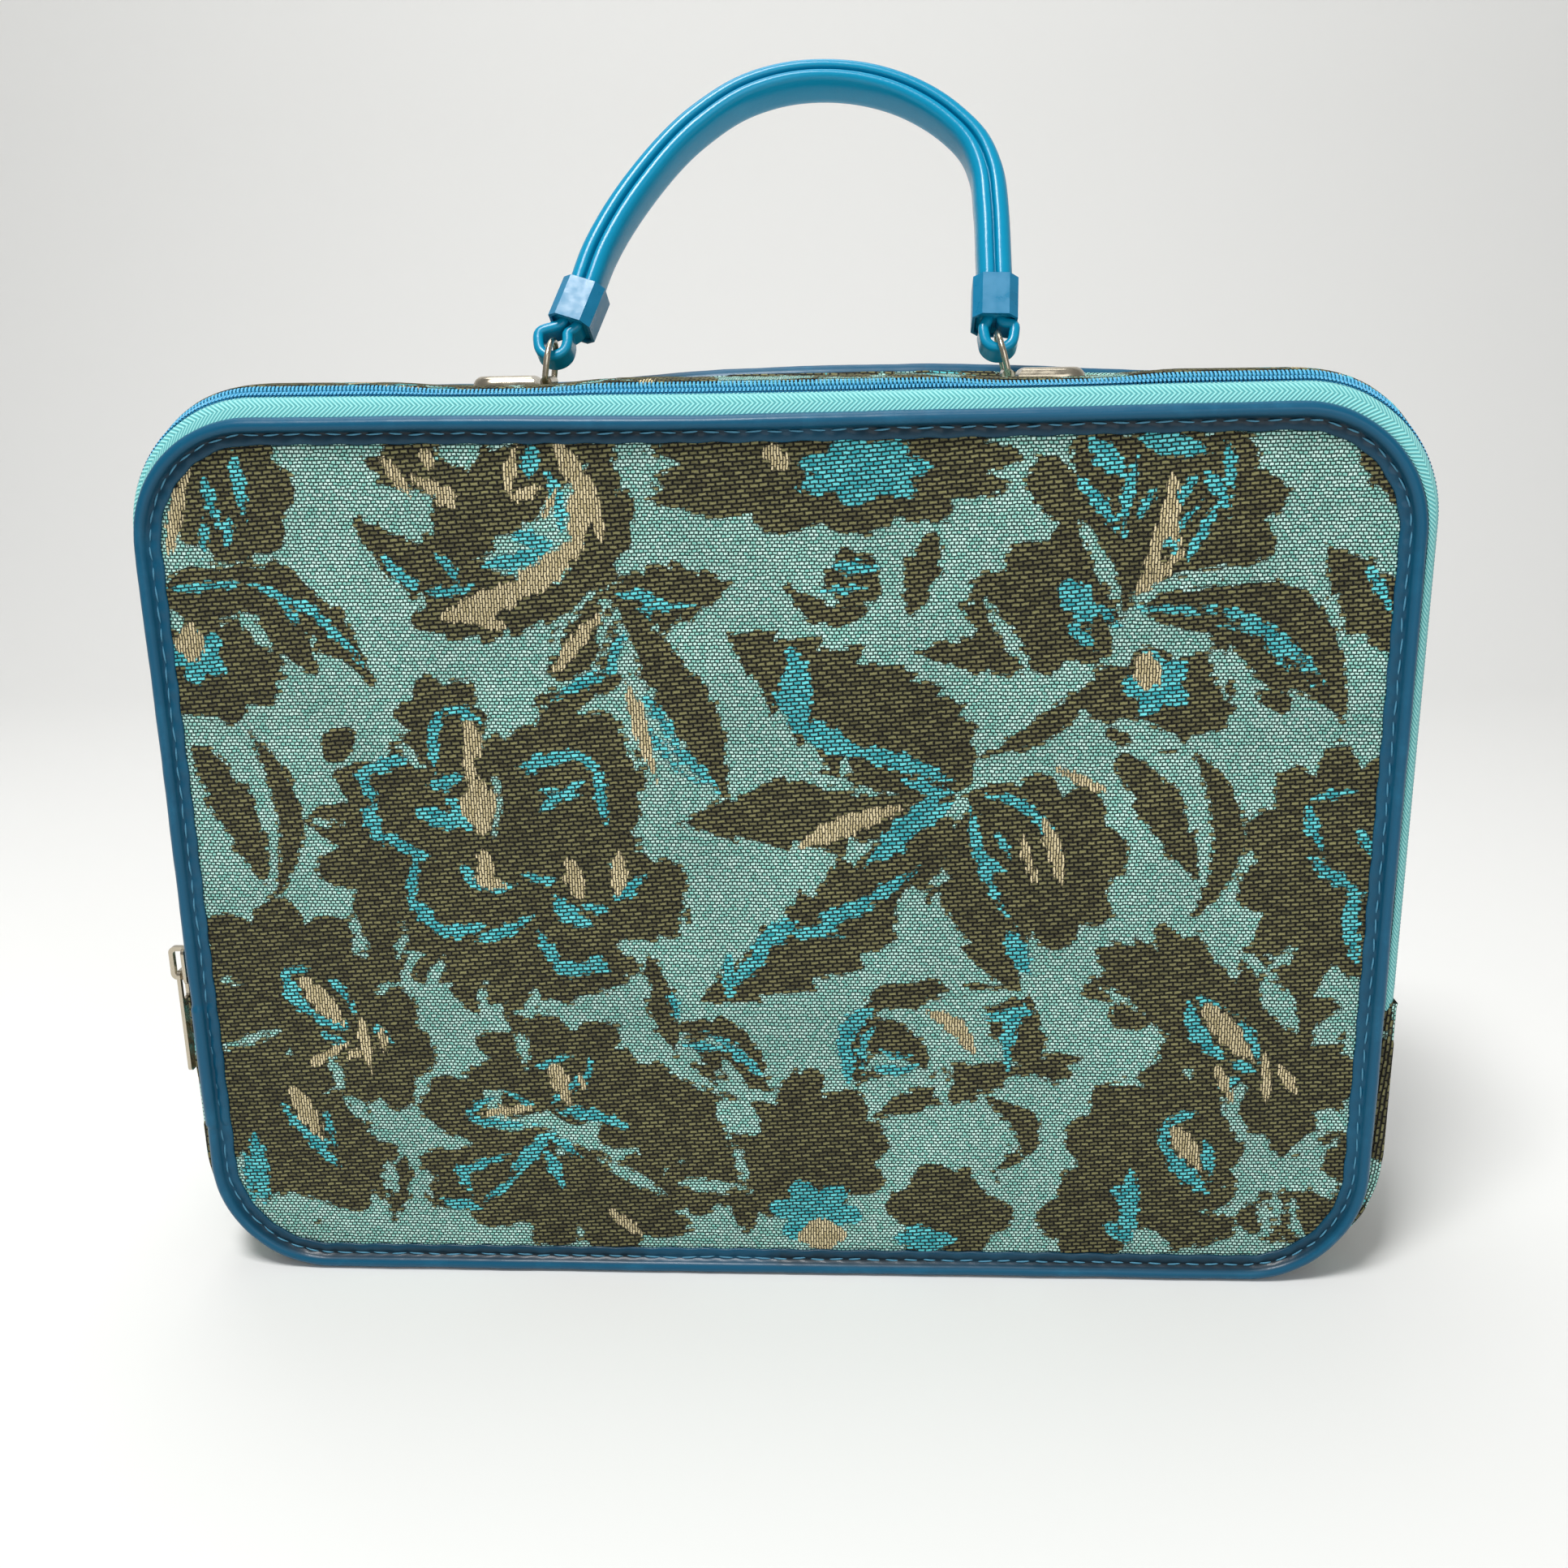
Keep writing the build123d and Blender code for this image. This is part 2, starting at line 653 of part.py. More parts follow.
clip_left = handle_point(-0.873, 0.191)
clip_right = handle_point(0.95, 0.179)
strap_points = [
    clip_left,
    handle_point(-0.782, 0.388),
    handle_point(-0.615, 0.620),
    handle_point(-0.348, 0.848),
    handle_point(0.0, 0.984),
    handle_point(0.227, 1.0),
    handle_point(0.508, 0.954),
    handle_point(0.778, 0.824),
    handle_point(0.920, 0.640),
    handle_point(0.950, 0.407),
    clip_right,
]


def lean_dir(angle):
    return (sin(radians(angle)), cos(radians(angle)))


left_up = lean_dir(clip_lean_left)
right_up = lean_dir(clip_lean_right)


def shift(point, direction, distance):
    return (point[0] + direction[0] * distance, point[1] + direction[1] * distance)


def section_plane(point, direction):
    """The plane across the strap at a point of the handle plane."""
    origin = handle_plane.from_local_coords(Vector(*point, 0))
    ahead = handle_plane.from_local_coords(Vector(*shift(point, direction, 1.0), 0))
    return Plane(origin=origin, x_dir=handle_plane.z_dir, z_dir=ahead - origin)


def box_section(plane, width, thickness, cut):
    """A rectangle across the strap with its corners cut off."""
    with BuildSketch(plane) as section:
        Rectangle(width, thickness)
        chamfer(section.vertices(), cut)
    return section.sketch


def loop(middle, clip, up):
    """One strand that leaves the clip, turns under the ring and comes back."""
    down = (-up[0], -up[1])
    across = (up[1], -up[0])
    apart = (loop_strand + loop_gap) / 2
    low = loop_drop + loop_radius
    legs = []
    for side in (-1, 1):
        root = shift(clip, across, side * apart)
        legs.append([
            shift(root, down, strap_end - 2),
            shift(root, down, clip_length / 2 + 0.3),
            (middle + side * loop_radius, loop_knee),
            (middle + side * loop_radius, low),
        ])
    with BuildLine(handle_plane) as path:
        FilletPolyline(*legs[0], radius=loop_bend)
        ThreePointArc(legs[0][-1], (middle, loop_drop), legs[1][-1])
        FilletPolyline(*reversed(legs[1]), radius=loop_bend)
    sweep(box_section(section_plane(legs[0][0], down), loop_width, loop_strand, loop_cut), path=path.line)


def root_block(clip, up):
    """The sewn root, where the turned ends lie between the two layers inside the clip."""
    face = box_section(section_plane(shift(clip, up, -strap_end), up), root_width, root_thickness, clip_cut)
    extrude(face, amount=strap_end + clip_length / 2 - 0.5)


with BuildPart() as handle_strap:
    with BuildLine(handle_plane):
        strap_line = Spline(
            shift(clip_left, left_up, -strap_end / 2), *strap_points, shift(clip_right, right_up, -strap_end / 2)
        )
    with BuildSketch(Plane(origin=strap_line @ 0, x_dir=handle_plane.z_dir, z_dir=strap_line % 0)):
        half_layer = (strap_thickness + layer_overlap) / 4
        for side in (-1, 1):
            with BuildLine():
                Polyline(
                    (-strap_width / 2 + layer_round, -layer_overlap / 2 * side),
                    (strap_width / 2 - layer_round, -layer_overlap / 2 * side),
                    (strap_width / 2, (layer_round * 0.8 - layer_overlap / 2) * side),
                    (strap_width / 2, (2 * half_layer - layer_round) * side),
                    (strap_width / 2 - layer_round, strap_thickness / 2 * side),
                    (-strap_width / 2 + layer_round, strap_thickness / 2 * side),
                    (-strap_width / 2, (2 * half_layer - layer_round) * side),
                    (-strap_width / 2, (layer_round * 0.8 - layer_overlap / 2) * side),
                    close=True,
                )
            make_face()
    sweep()
    root_block(clip_left, left_up)
    root_block(clip_right, right_up)
    loop(-loop_root_left, clip_left, left_up)
    loop(loop_root_right, clip_right, right_up)
save(handle_strap, "handle_strap")

for name, clip, up in (("left", clip_left, left_up), ("right", clip_right, right_up)):
    mouth = section_plane(shift(clip, up, -clip_length / 2), up)
    inside = (root_width + 2 * clip_play, root_thickness + 2 * clip_play)
    outside = (inside[0] + 2 * clip_wall, inside[1] + 2 * clip_wall)
    with BuildPart() as clip_sleeve:
        extrude(box_section(mouth, *outside, clip_cut + 0.6 * clip_wall), amount=clip_length)
        extrude(box_section(mouth, *inside, clip_cut), amount=clip_length, mode=Mode.SUBTRACT)
    save(clip_sleeve, f"handle_clip_{name}")
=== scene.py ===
"""A zip-round brocade overnight bag with blue vinyl bindings and a looped strap handle.

Lengths are written in millimetres in the CAD frame (+X right, -Y towards the viewer, +Z up)
and become metres where a mesh is made. A shape is a function of two parameters on a grid,
or a profile carried along the bag's rounded outline.
"""

import math

import bpy
import numpy as np
from mathutils import Matrix


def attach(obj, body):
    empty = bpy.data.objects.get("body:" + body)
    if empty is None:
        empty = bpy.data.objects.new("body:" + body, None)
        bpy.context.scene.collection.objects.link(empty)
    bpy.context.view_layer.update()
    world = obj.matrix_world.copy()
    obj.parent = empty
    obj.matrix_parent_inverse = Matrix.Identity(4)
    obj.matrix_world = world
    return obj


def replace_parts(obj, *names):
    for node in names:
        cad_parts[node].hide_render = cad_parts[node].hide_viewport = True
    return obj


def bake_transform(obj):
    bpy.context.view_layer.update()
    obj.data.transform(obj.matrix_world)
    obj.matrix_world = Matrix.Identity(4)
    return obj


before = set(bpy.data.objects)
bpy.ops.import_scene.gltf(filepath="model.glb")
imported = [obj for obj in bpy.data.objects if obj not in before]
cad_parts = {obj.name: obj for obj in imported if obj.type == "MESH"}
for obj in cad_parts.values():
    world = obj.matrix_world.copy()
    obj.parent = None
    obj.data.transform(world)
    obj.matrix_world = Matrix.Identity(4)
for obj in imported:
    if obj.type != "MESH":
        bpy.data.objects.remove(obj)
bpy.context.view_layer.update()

# Outlines seen from the front: width, height and corner radius
FRONT = (400.0, 292.5, 40.0)
BAND = (405.0, 298.5, 42.5)
BACK = (406.0, 299.0, 43.0)
# How high the lid folds, and how far out the handle's plates are
FOLD = 100.0
PLATE_X = 86
# A binding's bead: the depth of its middle either way, and half its width. Half the width of a strap's loop
BEAD_Y = 46.5
BEAD_R = 2.4
LOOP_R = 4.8
STITCH_PITCH = 6.5
COIL_PITCH = 1.25
# The cloth's layout repeats, and a motif isn't worked out farther than FAR from its edge
REPEAT_ACROSS = 290.0
REPEAT_UP = 292
SEAM_X = -190
FAR = 6.0

# The brocade's flowers, laid out on the front as x, z, half width, half height, petals, depth of the notches
OLIVE_BLOOMS = [
    (-167, 269, 20, 22, 7, 0.1), (-178, 215, 22, 18, 8, 0.14), (-111, 278, 13, 8, 6, 0.22),
    (-106, 198, 15, 14, 6, 0.14), (-99, 156, 53, 38, 13, 0.1), (-65, 177, 24, 25, 8, 0.07),
    (-86, 125, 43, 25, 10, 0.16), (-43, 137, 15, 17, 5, 0.13), (20, 278, 55, 22, 13, 0.1), (25, 242, 9, 10, 5, 0.18),
    (118, 262, 37, 27, 9, 0.1), (85, 232, 24, 21, 7, 0.14), (120, 203, 23, 16, 8, 0.14), (178, 148, 30, 39, 11, 0.11),
    (-167, 106, 34, 30, 9, 0.13), (-136, 84, 18, 24, 6, 0.14), (-162, 43, 28, 26, 7, 0.1), (-75, 76, 31, 20, 8, 0.16),
    (-39, 60, 26, 20, 7, 0.14), (-97, 36, 29, 20, 7, 0.14), (-64, 26, 35, 20, 8, 0.14), (-112, 62, 12, 12, 5, 0.1),
    (10, 47, 27, 25, 8, 0.12), (57, 24, 21, 19, 6, 0.14), (-11, 36, 12, 20, 5, 0.18), (127, 109, 26, 19, 8, 0.14),
    (153, 94, 30, 26, 9, 0.12), (171, 73, 20, 27, 7, 0.12), (126, 47, 30, 33, 9, 0.09), (193, 44, 11, 13, 5, 0.14),
    (87, 149, 25, 29, 8, 0.11), (-185, 71, 17, 33, 6, 0.1), (-26, 36, 14, 15, 5, 0.2), (104, 22, 16, 19, 5, 0.15),
]
# Leaves, petals and stems: from x, z to x, z, width, then teeth on each edge and bend to the left, where they have any
OLIVE_LEAVES = [
    (-114, 229, -52, 239, 22, 6), (-62, 228, -50, 262, 19, 4), (-54, 252, -50, 290, 15, 4),
    (-48, 236, -70, 210, 19, 2, 3), (-76, 203, -46, 212, 12, 3), (-194, 238, -158, 238, 17),
    (-194, 205, -156, 212, 20, 4), (128, 233, 177, 199, 27, 0, 9), (95, 204, 145, 200, 24, 5),
    (176, 286, 191, 260, 14, 4), (-176, 72, -147, 74, 18), (-93, 107, -47, 109, 15, 4), (-33, 93, -4, 74, 14, 4, 4),
    (27, 93, 49, 76, 15, 0, 5), (154, 22, 194, 26, 24, 5), (122, 16, 158, 20, 18, 4), (24, 74, 52, 71, 8, 2),
    (-188, 244, -126, 207, 20.6, 3, 11.8), (-160, 236, -145, 212, 12.8), (-106, 280, -93, 266, 11.3, 3),
    (-52, 283, -108, 227, 29, 7, -14.2), (-79, 240, -130, 263, 21.1, 6, 7.4), (-54, 245, -43, 271, 15.7, 3),
    (-74, 260, -76, 283, 14.7, 3), (-53, 233, -13, 241, 24.1, 5), (-51, 233, -72, 212, 17.7, 2),
    (-44, 224, -16, 171, 19.1, 6, 4.4), (-47, 228, -27, 211, 12.3, 3), (-65, 199, -72, 207, 9.8),
    (-134, 136, -128, 105, 16.2, 2), (-108, 119, -102, 96, 15.2, 2), (-86, 119, -88, 81, 12.3, 2),
    (-137, 186, -145, 193, 14.7), (-14, 270, -37, 267, 11.3, 2), (31, 233, 3, 242, 9.8, 2, 6.4),
    (50, 256, 42, 229, 12.3, 3), (62, 176, -14, 225, 43.2, 7), (61, 179, 34, 214, 27.5, 5),
    (57, 171, -31, 163, 30.4, 5), (56, 164, -27, 101, 36.8, 6, 6.9), (62, 167, 78, 103, 29.5, 3, -2.5),
    (61, 172, 112, 146, 24.6, 4, 4.9), (85, 216, 44, 219, 13.7, 4), (87, 219, 57, 234, 14.7, 3),
    (114, 233, 177, 195, 24.6, 3, 11.8), (144, 221, 160, 198, 13.7), (100, 209, 66, 185, 7.9, 0, 3.4),
    (108, 186, 135, 142, 16.2, 3, 2.5), (132, 186, 132, 128, 10.3, 0, 11.8), (-188, 190, -169, 141, 17.2, 3, 2.5),
    (-169, 193, -168, 135, 8.8, 0, 9.8), (194, 218, 168, 250, 22.6, 3), (86, 278, 80, 264, 14.7, 2),
    (-43, 117, -35, 81, 12.3, 3), (-31, 88, -2, 68, 12.3, 4), (25, 71, 63, 108, 17.7, 4, 12.8),
    (62, 107, 85, 73, 20.6, 3, 5.9), (81, 77, 31, 59, 15.7, 3, -2.5), (69, 67, 71, 38, 12.8, 0, 13.3),
    (78, 72, 101, 82, 13.7, 3), (-131, 42, -137, 17, 9.8, 2), (158, 126, 167, 134, 12.3, 2),
    (15, 73, -1, 70, 12.3, 2),
]
BLUE_BLOOMS = [
    (-183, 219, 9, 9, 5, 0.2), (28, 275, 20, 10, 7, 0.16), (119, 208, 10, 10, 5, 0.2), (11, 23, 15, 12, 6, 0.2),
    (48, 13, 10, 5, 4, 0.1),
]
BLUE_LEAVES = [
    (-69, 205, -50, 214, 3, 4, 1), (-42, 200, -24, 176, 3, 6, -3), (-26, 90, -12, 84, 3, 3),
    (31, 92, 28, 76, 3.4, 4, -2), (136, 226, 166, 207, 3, 7, 6), (-175, 276, -172, 258, 5, 3),
    (-165, 282, -163, 262, 5, 3), (-168, 262, -170, 252, 4, 2), (-176, 262, -178, 250, 3, 2),
    (-190, 240, -165, 242, 3.5, 3), (-165, 242, -128, 212, 4, 6, 5), (-155, 237, -148, 227, 3.5, 2),
    (-146, 235, -138, 222, 3.5, 2, 1), (-121, 250, -108, 239, 4.5, 3, -1), (-109, 239, -92, 241, 4, 3, -1),
    (-104, 251, -96, 240, 4, 2), (-89, 247, -67, 253, 7, 4, -1), (-80, 257, -66, 252, 6, 3),
    (-72, 284, -74, 273, 7, 2), (-68, 277, -64, 256, 4.5, 3, 1), (-48, 238, -34, 236, 4.5, 3),
    (-42, 233, -24, 234, 3.5, 4), (-40, 238, -38, 230, 3, 1), (-46, 226, -52, 208, 4, 3, -1),
    (-53, 211, -70, 204, 4.5, 3, -1), (-41, 205, -30, 186, 4.5, 4, 1), (-34, 189, -18, 173, 5, 4, 1),
    (-104, 203, -109, 180, 5, 4, -3), (-105, 202, -93, 196, 4.5, 2, 1), (-118, 185, -136, 178, 5.5, 3, -1),
    (-136, 181, -130, 168, 5, 2, 1), (-134, 169, -128, 155, 6.5, 3), (-129, 160, -112, 151, 5.5, 3, -1),
    (-112, 176, -99, 179, 6, 3), (-117, 168, -101, 163, 8, 3, -1), (-106, 172, -98, 159, 5, 2),
    (-82, 182, -61, 186, 5, 4, 1), (-81, 179, -72, 186, 3.5, 2), (-65, 187, -56, 181, 4.5, 2),
    (-75, 174, -63, 172, 3.5, 2), (-77, 167, -61, 178, 4, 3), (-57, 182, -55, 162, 5, 4),
    (-166, 113, -156, 94, 6, 3, -3), (-166, 112, -156, 111, 4, 2), (-158, 95, -143, 91, 4.5, 3, -1),
    (-151, 109, -143, 95, 3.5, 3, 1), (-156, 89, -146, 84, 3.5, 2), (-138, 92, -132, 86, 3, 1),
    (-172, 62, -158, 48, 4.5, 3, -2), (-166, 53, -154, 38, 5.5, 3), (-157, 60, -155, 44, 3.5, 3),
    (-183, 52, -182, 22, 7.5, 5), (-187, 44, -186, 24, 5, 3), (-109, 58, -95, 67, 3.5, 3, 1),
    (-109, 58, -84, 55, 4, 4, -1), (-93, 67, -84, 62, 3.5, 2), (-76, 61, -50, 54, 6, 5, 1),
    (-79, 63, -62, 80, 3.5, 4, -1), (-82, 77, -71, 81, 3.5, 2), (-64, 80, -66, 70, 3.5, 2), (-112, 37, -94, 44, 4, 3),
    (-113, 40, -108, 29, 4.5, 2), (-119, 26, -105, 23, 5.5, 3), (-105, 25, -91, 36, 4, 3), (-93, 38, -78, 53, 7, 3),
    (-79, 51, -69, 43, 4.5, 2), (-81, 46, -76, 31, 5, 3), (-117, 152, -121, 134, 4.5, 4, -1),
    (-121, 137, -110, 123, 6.5, 3), (-113, 126, -97, 128, 6.5, 3, -1), (-100, 123, -81, 131, 5.5, 4, -1),
    (-103, 149, -98, 140, 4.5, 2), (-99, 141, -86, 142, 4, 3, -1), (-84, 147, -71, 143, 3.5, 3, -1),
    (-73, 138, -61, 128, 8, 3, -2), (-64, 135, -55, 133, 4.5, 2), (-53, 137, -43, 145, 6, 3),
    (-79, 125, -71, 113, 5, 3, -1), (-75, 113, -59, 112, 6.5, 3), (-62, 117, -56, 111, 5.5, 2),
    (-36, 105, -34, 94, 4, 3), (-33, 86, -19, 84, 4.5, 3), (-20, 87, -6, 73, 4.5, 3, 1), (-17, 119, -16, 101, 4.5, 4),
    (5, 221, 12, 203, 7, 3), (5, 213, 9, 194, 13, 3), (4, 197, 31, 184, 9.5, 4), (24, 187, 57, 177, 7.5, 5, 1),
    (40, 177, 58, 172, 4.5, 3), (0, 206, 8, 198, 6, 2), (52, 172, 29, 149, 9, 5), (43, 160, 32, 150, 7, 3),
    (56, 170, 44, 160, 4, 2), (46, 148, 11, 130, 5, 6, 2), (13, 131, 32, 134, 5.5, 3), (26, 134, 3, 123, 5, 3, 1),
    (6, 129, -9, 120, 9, 3), (-3, 123, -17, 106, 6.5, 4, 1), (0, 126, 22, 124, 3.5, 3), (66, 173, 91, 157, 4.5, 5, 3),
    (62, 169, 77, 129, 4.5, 6, -3), (75, 126, 82, 111, 8.5, 3), (65, 152, 73, 147, 5, 2),
    (83, 164, 91, 149, 3.5, 3, 1), (70, 160, 76, 150, 3, 2), (31, 99, 20, 80, 7.5, 4, -3),
    (20, 90, 23, 71, 6.5, 3, 1), (31, 78, 47, 79, 4.5, 3, -2), (84, 98, 67, 96, 5.5, 3),
    (80, 101, 76, 77, 5.5, 4, -2), (34, 84, 44, 82, 3, 2, -1), (134, 103, 150, 80, 6.5, 5, -4),
    (136, 104, 147, 98, 4.5, 2), (150, 97, 158, 81, 4, 3, 1), (149, 80, 158, 77, 4.5, 2), (146, 72, 153, 75, 3.5, 1),
    (130, 60, 129, 47, 4.5, 3, -1), (130, 59, 138, 62, 3.5, 2), (129, 49, 145, 31, 7.5, 4, -1),
    (142, 52, 145, 38, 4.5, 3), (118, 40, 118, 11, 8, 6), (111, 33, 118, 28, 4.5, 2), (110, 20, 120, 12, 5, 2),
    (169, 171, 184, 174, 4, 3), (168, 169, 174, 153, 5.5, 3, -1), (184, 161, 190, 151, 5, 2),
    (170, 151, 187, 140, 5.5, 4, -1), (184, 142, 187, 114, 6.5, 5, -1), (89, 241, 99, 227, 11, 3),
    (91, 227, 100, 219, 5.5, 2), (99, 233, 107, 226, 4.5, 2), (96, 283, 107, 271, 8.5, 3),
    (93, 271, 105, 255, 5.5, 4, 1), (111, 283, 132, 278, 8.5, 4), (110, 277, 107, 252, 4.5, 5, -1),
    (116, 268, 110, 258, 4, 2), (130, 273, 138, 260, 5.5, 3, 1), (136, 282, 139, 267, 4.5, 3),
    (117, 249, 130, 264, 4, 3), (121, 262, 129, 273, 4.5, 3), (134, 262, 126, 246, 4, 3), (121, 258, 123, 246, 3, 2),
    (111, 231, 136, 230, 3.5, 5, 1), (131, 233, 172, 205, 4, 7, 5), (149, 227, 159, 211, 4, 3),
    (19, 246, 33, 245, 5.5, 3), (16, 238, 29, 239, 3.5, 3), (180, 244, 190, 228, 4, 3),
]
BEIGE_BLOOMS = [
    (-185, 223, 5, 6, 4, 0.1), (116, 212, 4, 6, 4, 0.1), (13, 14, 8, 6, 4, 0.1), (-96, 169, 6, 9, 4, 0.12),
]
BEIGE_LEAVES = [
    (-189, 250, -178, 280, 5.5, 4, 1), (-104, 230, -71, 243, 10, 5, -1), (-84, 237, -57, 257, 10, 4, -2),
    (-60, 249, -58, 278, 7, 4), (-65, 285, -51, 261, 8, 4), (-57, 272, -51, 253, 6, 3), (-96, 232, -83, 227, 6, 2),
    (-119, 281, -111, 269, 5.5, 3), (-106, 283, -103, 275, 4.5, 2), (-110, 275, -94, 268, 5, 3, -1),
    (-103, 269, -97, 265, 4, 1), (-77, 283, -80, 267, 5, 3, -1), (-81, 268, -69, 272, 4.5, 2, -1),
    (-70, 261, -65, 271, 3.5, 2), (-69, 213, -51, 233, 6, 4, 1), (-46, 209, -38, 177, 6, 5),
    (-98, 198, -95, 184, 7.5, 3), (-99, 189, -98, 176, 4.5, 3), (-96, 154, -94, 140, 7, 3),
    (-99, 144, -87, 141, 4.5, 2), (-68, 151, -64, 136, 7.5, 3), (-51, 153, -52, 137, 6.5, 3),
    (-161, 109, -147, 91, 8.5, 4), (-161, 77, -147, 85, 4.5, 2), (-142, 95, -140, 74, 4, 3),
    (-135, 91, -134, 81, 3.5, 2), (-148, 80, -136, 84, 4, 2), (-168, 69, -159, 49, 8.5, 4),
    (-102, 59, -84, 62, 4.5, 3), (-77, 78, -72, 63, 7.5, 3), (-68, 74, -66, 68, 3, 1), (-61, 23, -49, 13, 5.5, 3),
    (7, 155, 43, 169, 8.5, 5, 1), (85, 165, 92, 141, 6, 4, 1), (78, 160, 84, 141, 4, 3), (49, 98, 65, 81, 7.5, 3, 3),
    (139, 101, 156, 81, 10, 4), (144, 79, 151, 65, 4.5, 3), (160, 84, 162, 64, 4.5, 3), (165, 79, 171, 69, 4.5, 2),
    (131, 57, 141, 41, 8.5, 4), (-1, 283, 6, 275, 7, 2), (111, 235, 121, 273, 5, 4, -2),
    (121, 273, 124, 248, 5, 3, -1), (125, 249, 111, 235, 5, 3), (112, 217, 121, 207, 6.5, 2),
    (88, 181, 106, 173, 4, 3),
]
# Where the ground shows through the flowers, as veins and notches
GROUND_VEINS = [
    (-72, 207, -50, 232, 2, 0, -7), (-68, 212, -54, 238, 2, 0, 5), (29, 96, 52, 86, 3.2, 0, 5),
    (28, 84, 42, 80, 2.4, 0, -3), (166, 36, 169, 14, 3), (-28, 88, -10, 80, 2, 0, 2), (150, 34, 190, 36, 3, 0, 1),
    (141, 216, 158, 205, 3, 0, -3), (-182, 248, -166, 248, 3), (-168, 233, -160, 221, 4.5),
    (-55, 239, -73, 213, 2.4, 0, -2), (-53, 237, -57, 213, 2.4, 0, 2), (-51, 236, -42, 209, 2.8, 0, 1),
    (-42, 210, -60, 200, 2.6), (-49, 198, -41, 177, 2.6, 0, -1), (-40, 196, -36, 180, 2), (-122, 191, -113, 181, 3.5),
    (-94, 189, -87, 201, 3.5), (-90, 180, -92, 158, 2.2, 0, 1), (-153, 164, -142, 163, 3),
    (0, 182, 38, 172, 3.4, 0, -1), (94, 258, 107, 230, 4.5, 0, 1), (117, 238, 150, 244, 5), (135, 220, 140, 204, 3.5),
    (141, 219, 151, 195, 6.5), (106, 196, 131, 187, 6), (66, 234, 80, 212, 4.5), (77, 211, 91, 208, 4),
    (85, 182, 98, 176, 5), (-190, 83, -171, 89, 3.5), (-189, 108, -182, 107, 2.5), (-153, 82, -150, 65, 3.5),
    (-150, 66, -139, 53, 4.5), (-127, 116, -124, 125, 3.5), (-118, 103, -112, 116, 4.5), (-100, 97, -98, 107, 3.5),
    (-85, 94, -81, 105, 4.5), (-88, 97, -49, 96, 3.4), (-68, 92, -67, 101, 2.4), (-88, 90, -86, 77, 4.5),
    (-51, 122, -37, 119, 4.5), (-49, 111, -43, 101, 6.5), (-31, 132, -29, 109, 5), (-63, 43, -41, 29, 4.5),
    (-16, 49, -12, 31, 3.4), (-36, 34, -11, 31, 4.5), (-142, 52, -106, 47, 9), (-137, 42, -135, 28, 3.5),
    (-128, 40, -123, 28, 4.5), (-180, 26, -148, 16, 9), (-143, 28, -140, 12, 6.5), (-134, 21, -98, 12, 9),
    (-72, 17, -70, 10, 2.4), (-51, 86, -38, 81, 12), (-41, 81, -19, 67, 5.5), (-21, 64, -7, 53, 12),
    (-19, 80, -12, 65, 4.5), (0, 142, 15, 144, 3.4), (44, 142, 45, 109, 12), (40, 119, 21, 107, 5),
    (49, 117, 63, 104, 6), (36, 99, 57, 73, 9, 0, 6), (26, 71, 56, 73, 6.5), (53, 78, 55, 63, 5.5),
    (58, 101, 81, 105, 6.5), (66, 100, 68, 89, 4.5), (74, 73, 99, 66, 9), (94, 79, 120, 72, 5.5),
    (92, 70, 89, 33, 7.5), (60, 59, 81, 45, 8, 0, 4), (35, 53, 61, 47, 10), (41, 38, 29, 21, 3.5),
    (64, 44, 76, 27, 6.5), (105, 107, 119, 98, 3.2), (149, 119, 163, 109, 4.5), (158, 109, 170, 91, 9),
    (167, 121, 157, 111, 3.5), (176, 87, 187, 100, 9), (178, 62, 190, 56, 9), (147, 67, 161, 43, 4.5),
    (156, 42, 187, 36, 11), (169, 45, 183, 57, 4.5), (163, 30, 165, 15, 4.5), (172, 30, 176, 13, 3.5),
    (119, 17, 133, 11, 5.5), (154, 20, 160, 9, 4.5), (107, 143, 123, 121, 10), (139, 136, 149, 110, 12),
    (48, 140, 52, 146, 2),
]


def smooth(low, high, value):
    """A step from 0 to 1 between low and high with level ends."""
    t = np.clip((value - low) / (high - low), 0, 1)
    return t * t * (3 - 2 * t)


def ripple(a, b, size, seed):
    """A slow irregular wave of two parameters: five crossing sines of about the given size, -1 to 1."""
    rng = np.random.default_rng(seed)
    total = np.zeros(np.broadcast(a, b).shape)
    for turn, shift, stretch in zip(rng.uniform(0, np.pi, 5), rng.uniform(0, 6.28, 5), rng.uniform(0.7, 1.6, 5)):
        total += np.sin((a * np.cos(turn) + b * np.sin(turn)) * 6.28 * stretch / size + shift)
    return total / 5


def travelled(points):
    """The length along a row of points up to each of them."""
    return np.concatenate([[0], np.cumsum(np.linalg.norm(np.diff(points, axis=0), axis=1))])


def sag(points):
    """The soft lean of the finished bag: the front's top edge droops 1.3 mm between the corners, and the
    back's top edge stands 4.2 mm up behind the handle, both fading out down the panel and across the top.
    The top is padded: it swells by 3 mm behind the zip, less towards the back, and not at the two plates."""
    x, y, z = points[..., 0], points[..., 1], points[..., 2]
    high = smooth(190, 292, z)
    droop = 1.3 * np.exp(-((x + 10) / 105) ** 2) * smooth(22, 44, -y)
    rise = 4.2 * np.exp(-(((x - 32) / 84) ** 4)) * smooth(38, 46, y)
    moved = points.copy()
    pressed = np.exp(-(((np.abs(x) - PLATE_X) / 27) ** 4)) * (0.5 + 0.5 * np.exp(-((y / 15) ** 4)))
    crown = 3.0 * smooth(41.5, 33.5, -y) * (1 - 0.75 * smooth(-22, 34, y)) * smooth(258, 296, z)
    moved[..., 2] = z + high * (rise - droop) + crown * (1 - pressed)
    return moved


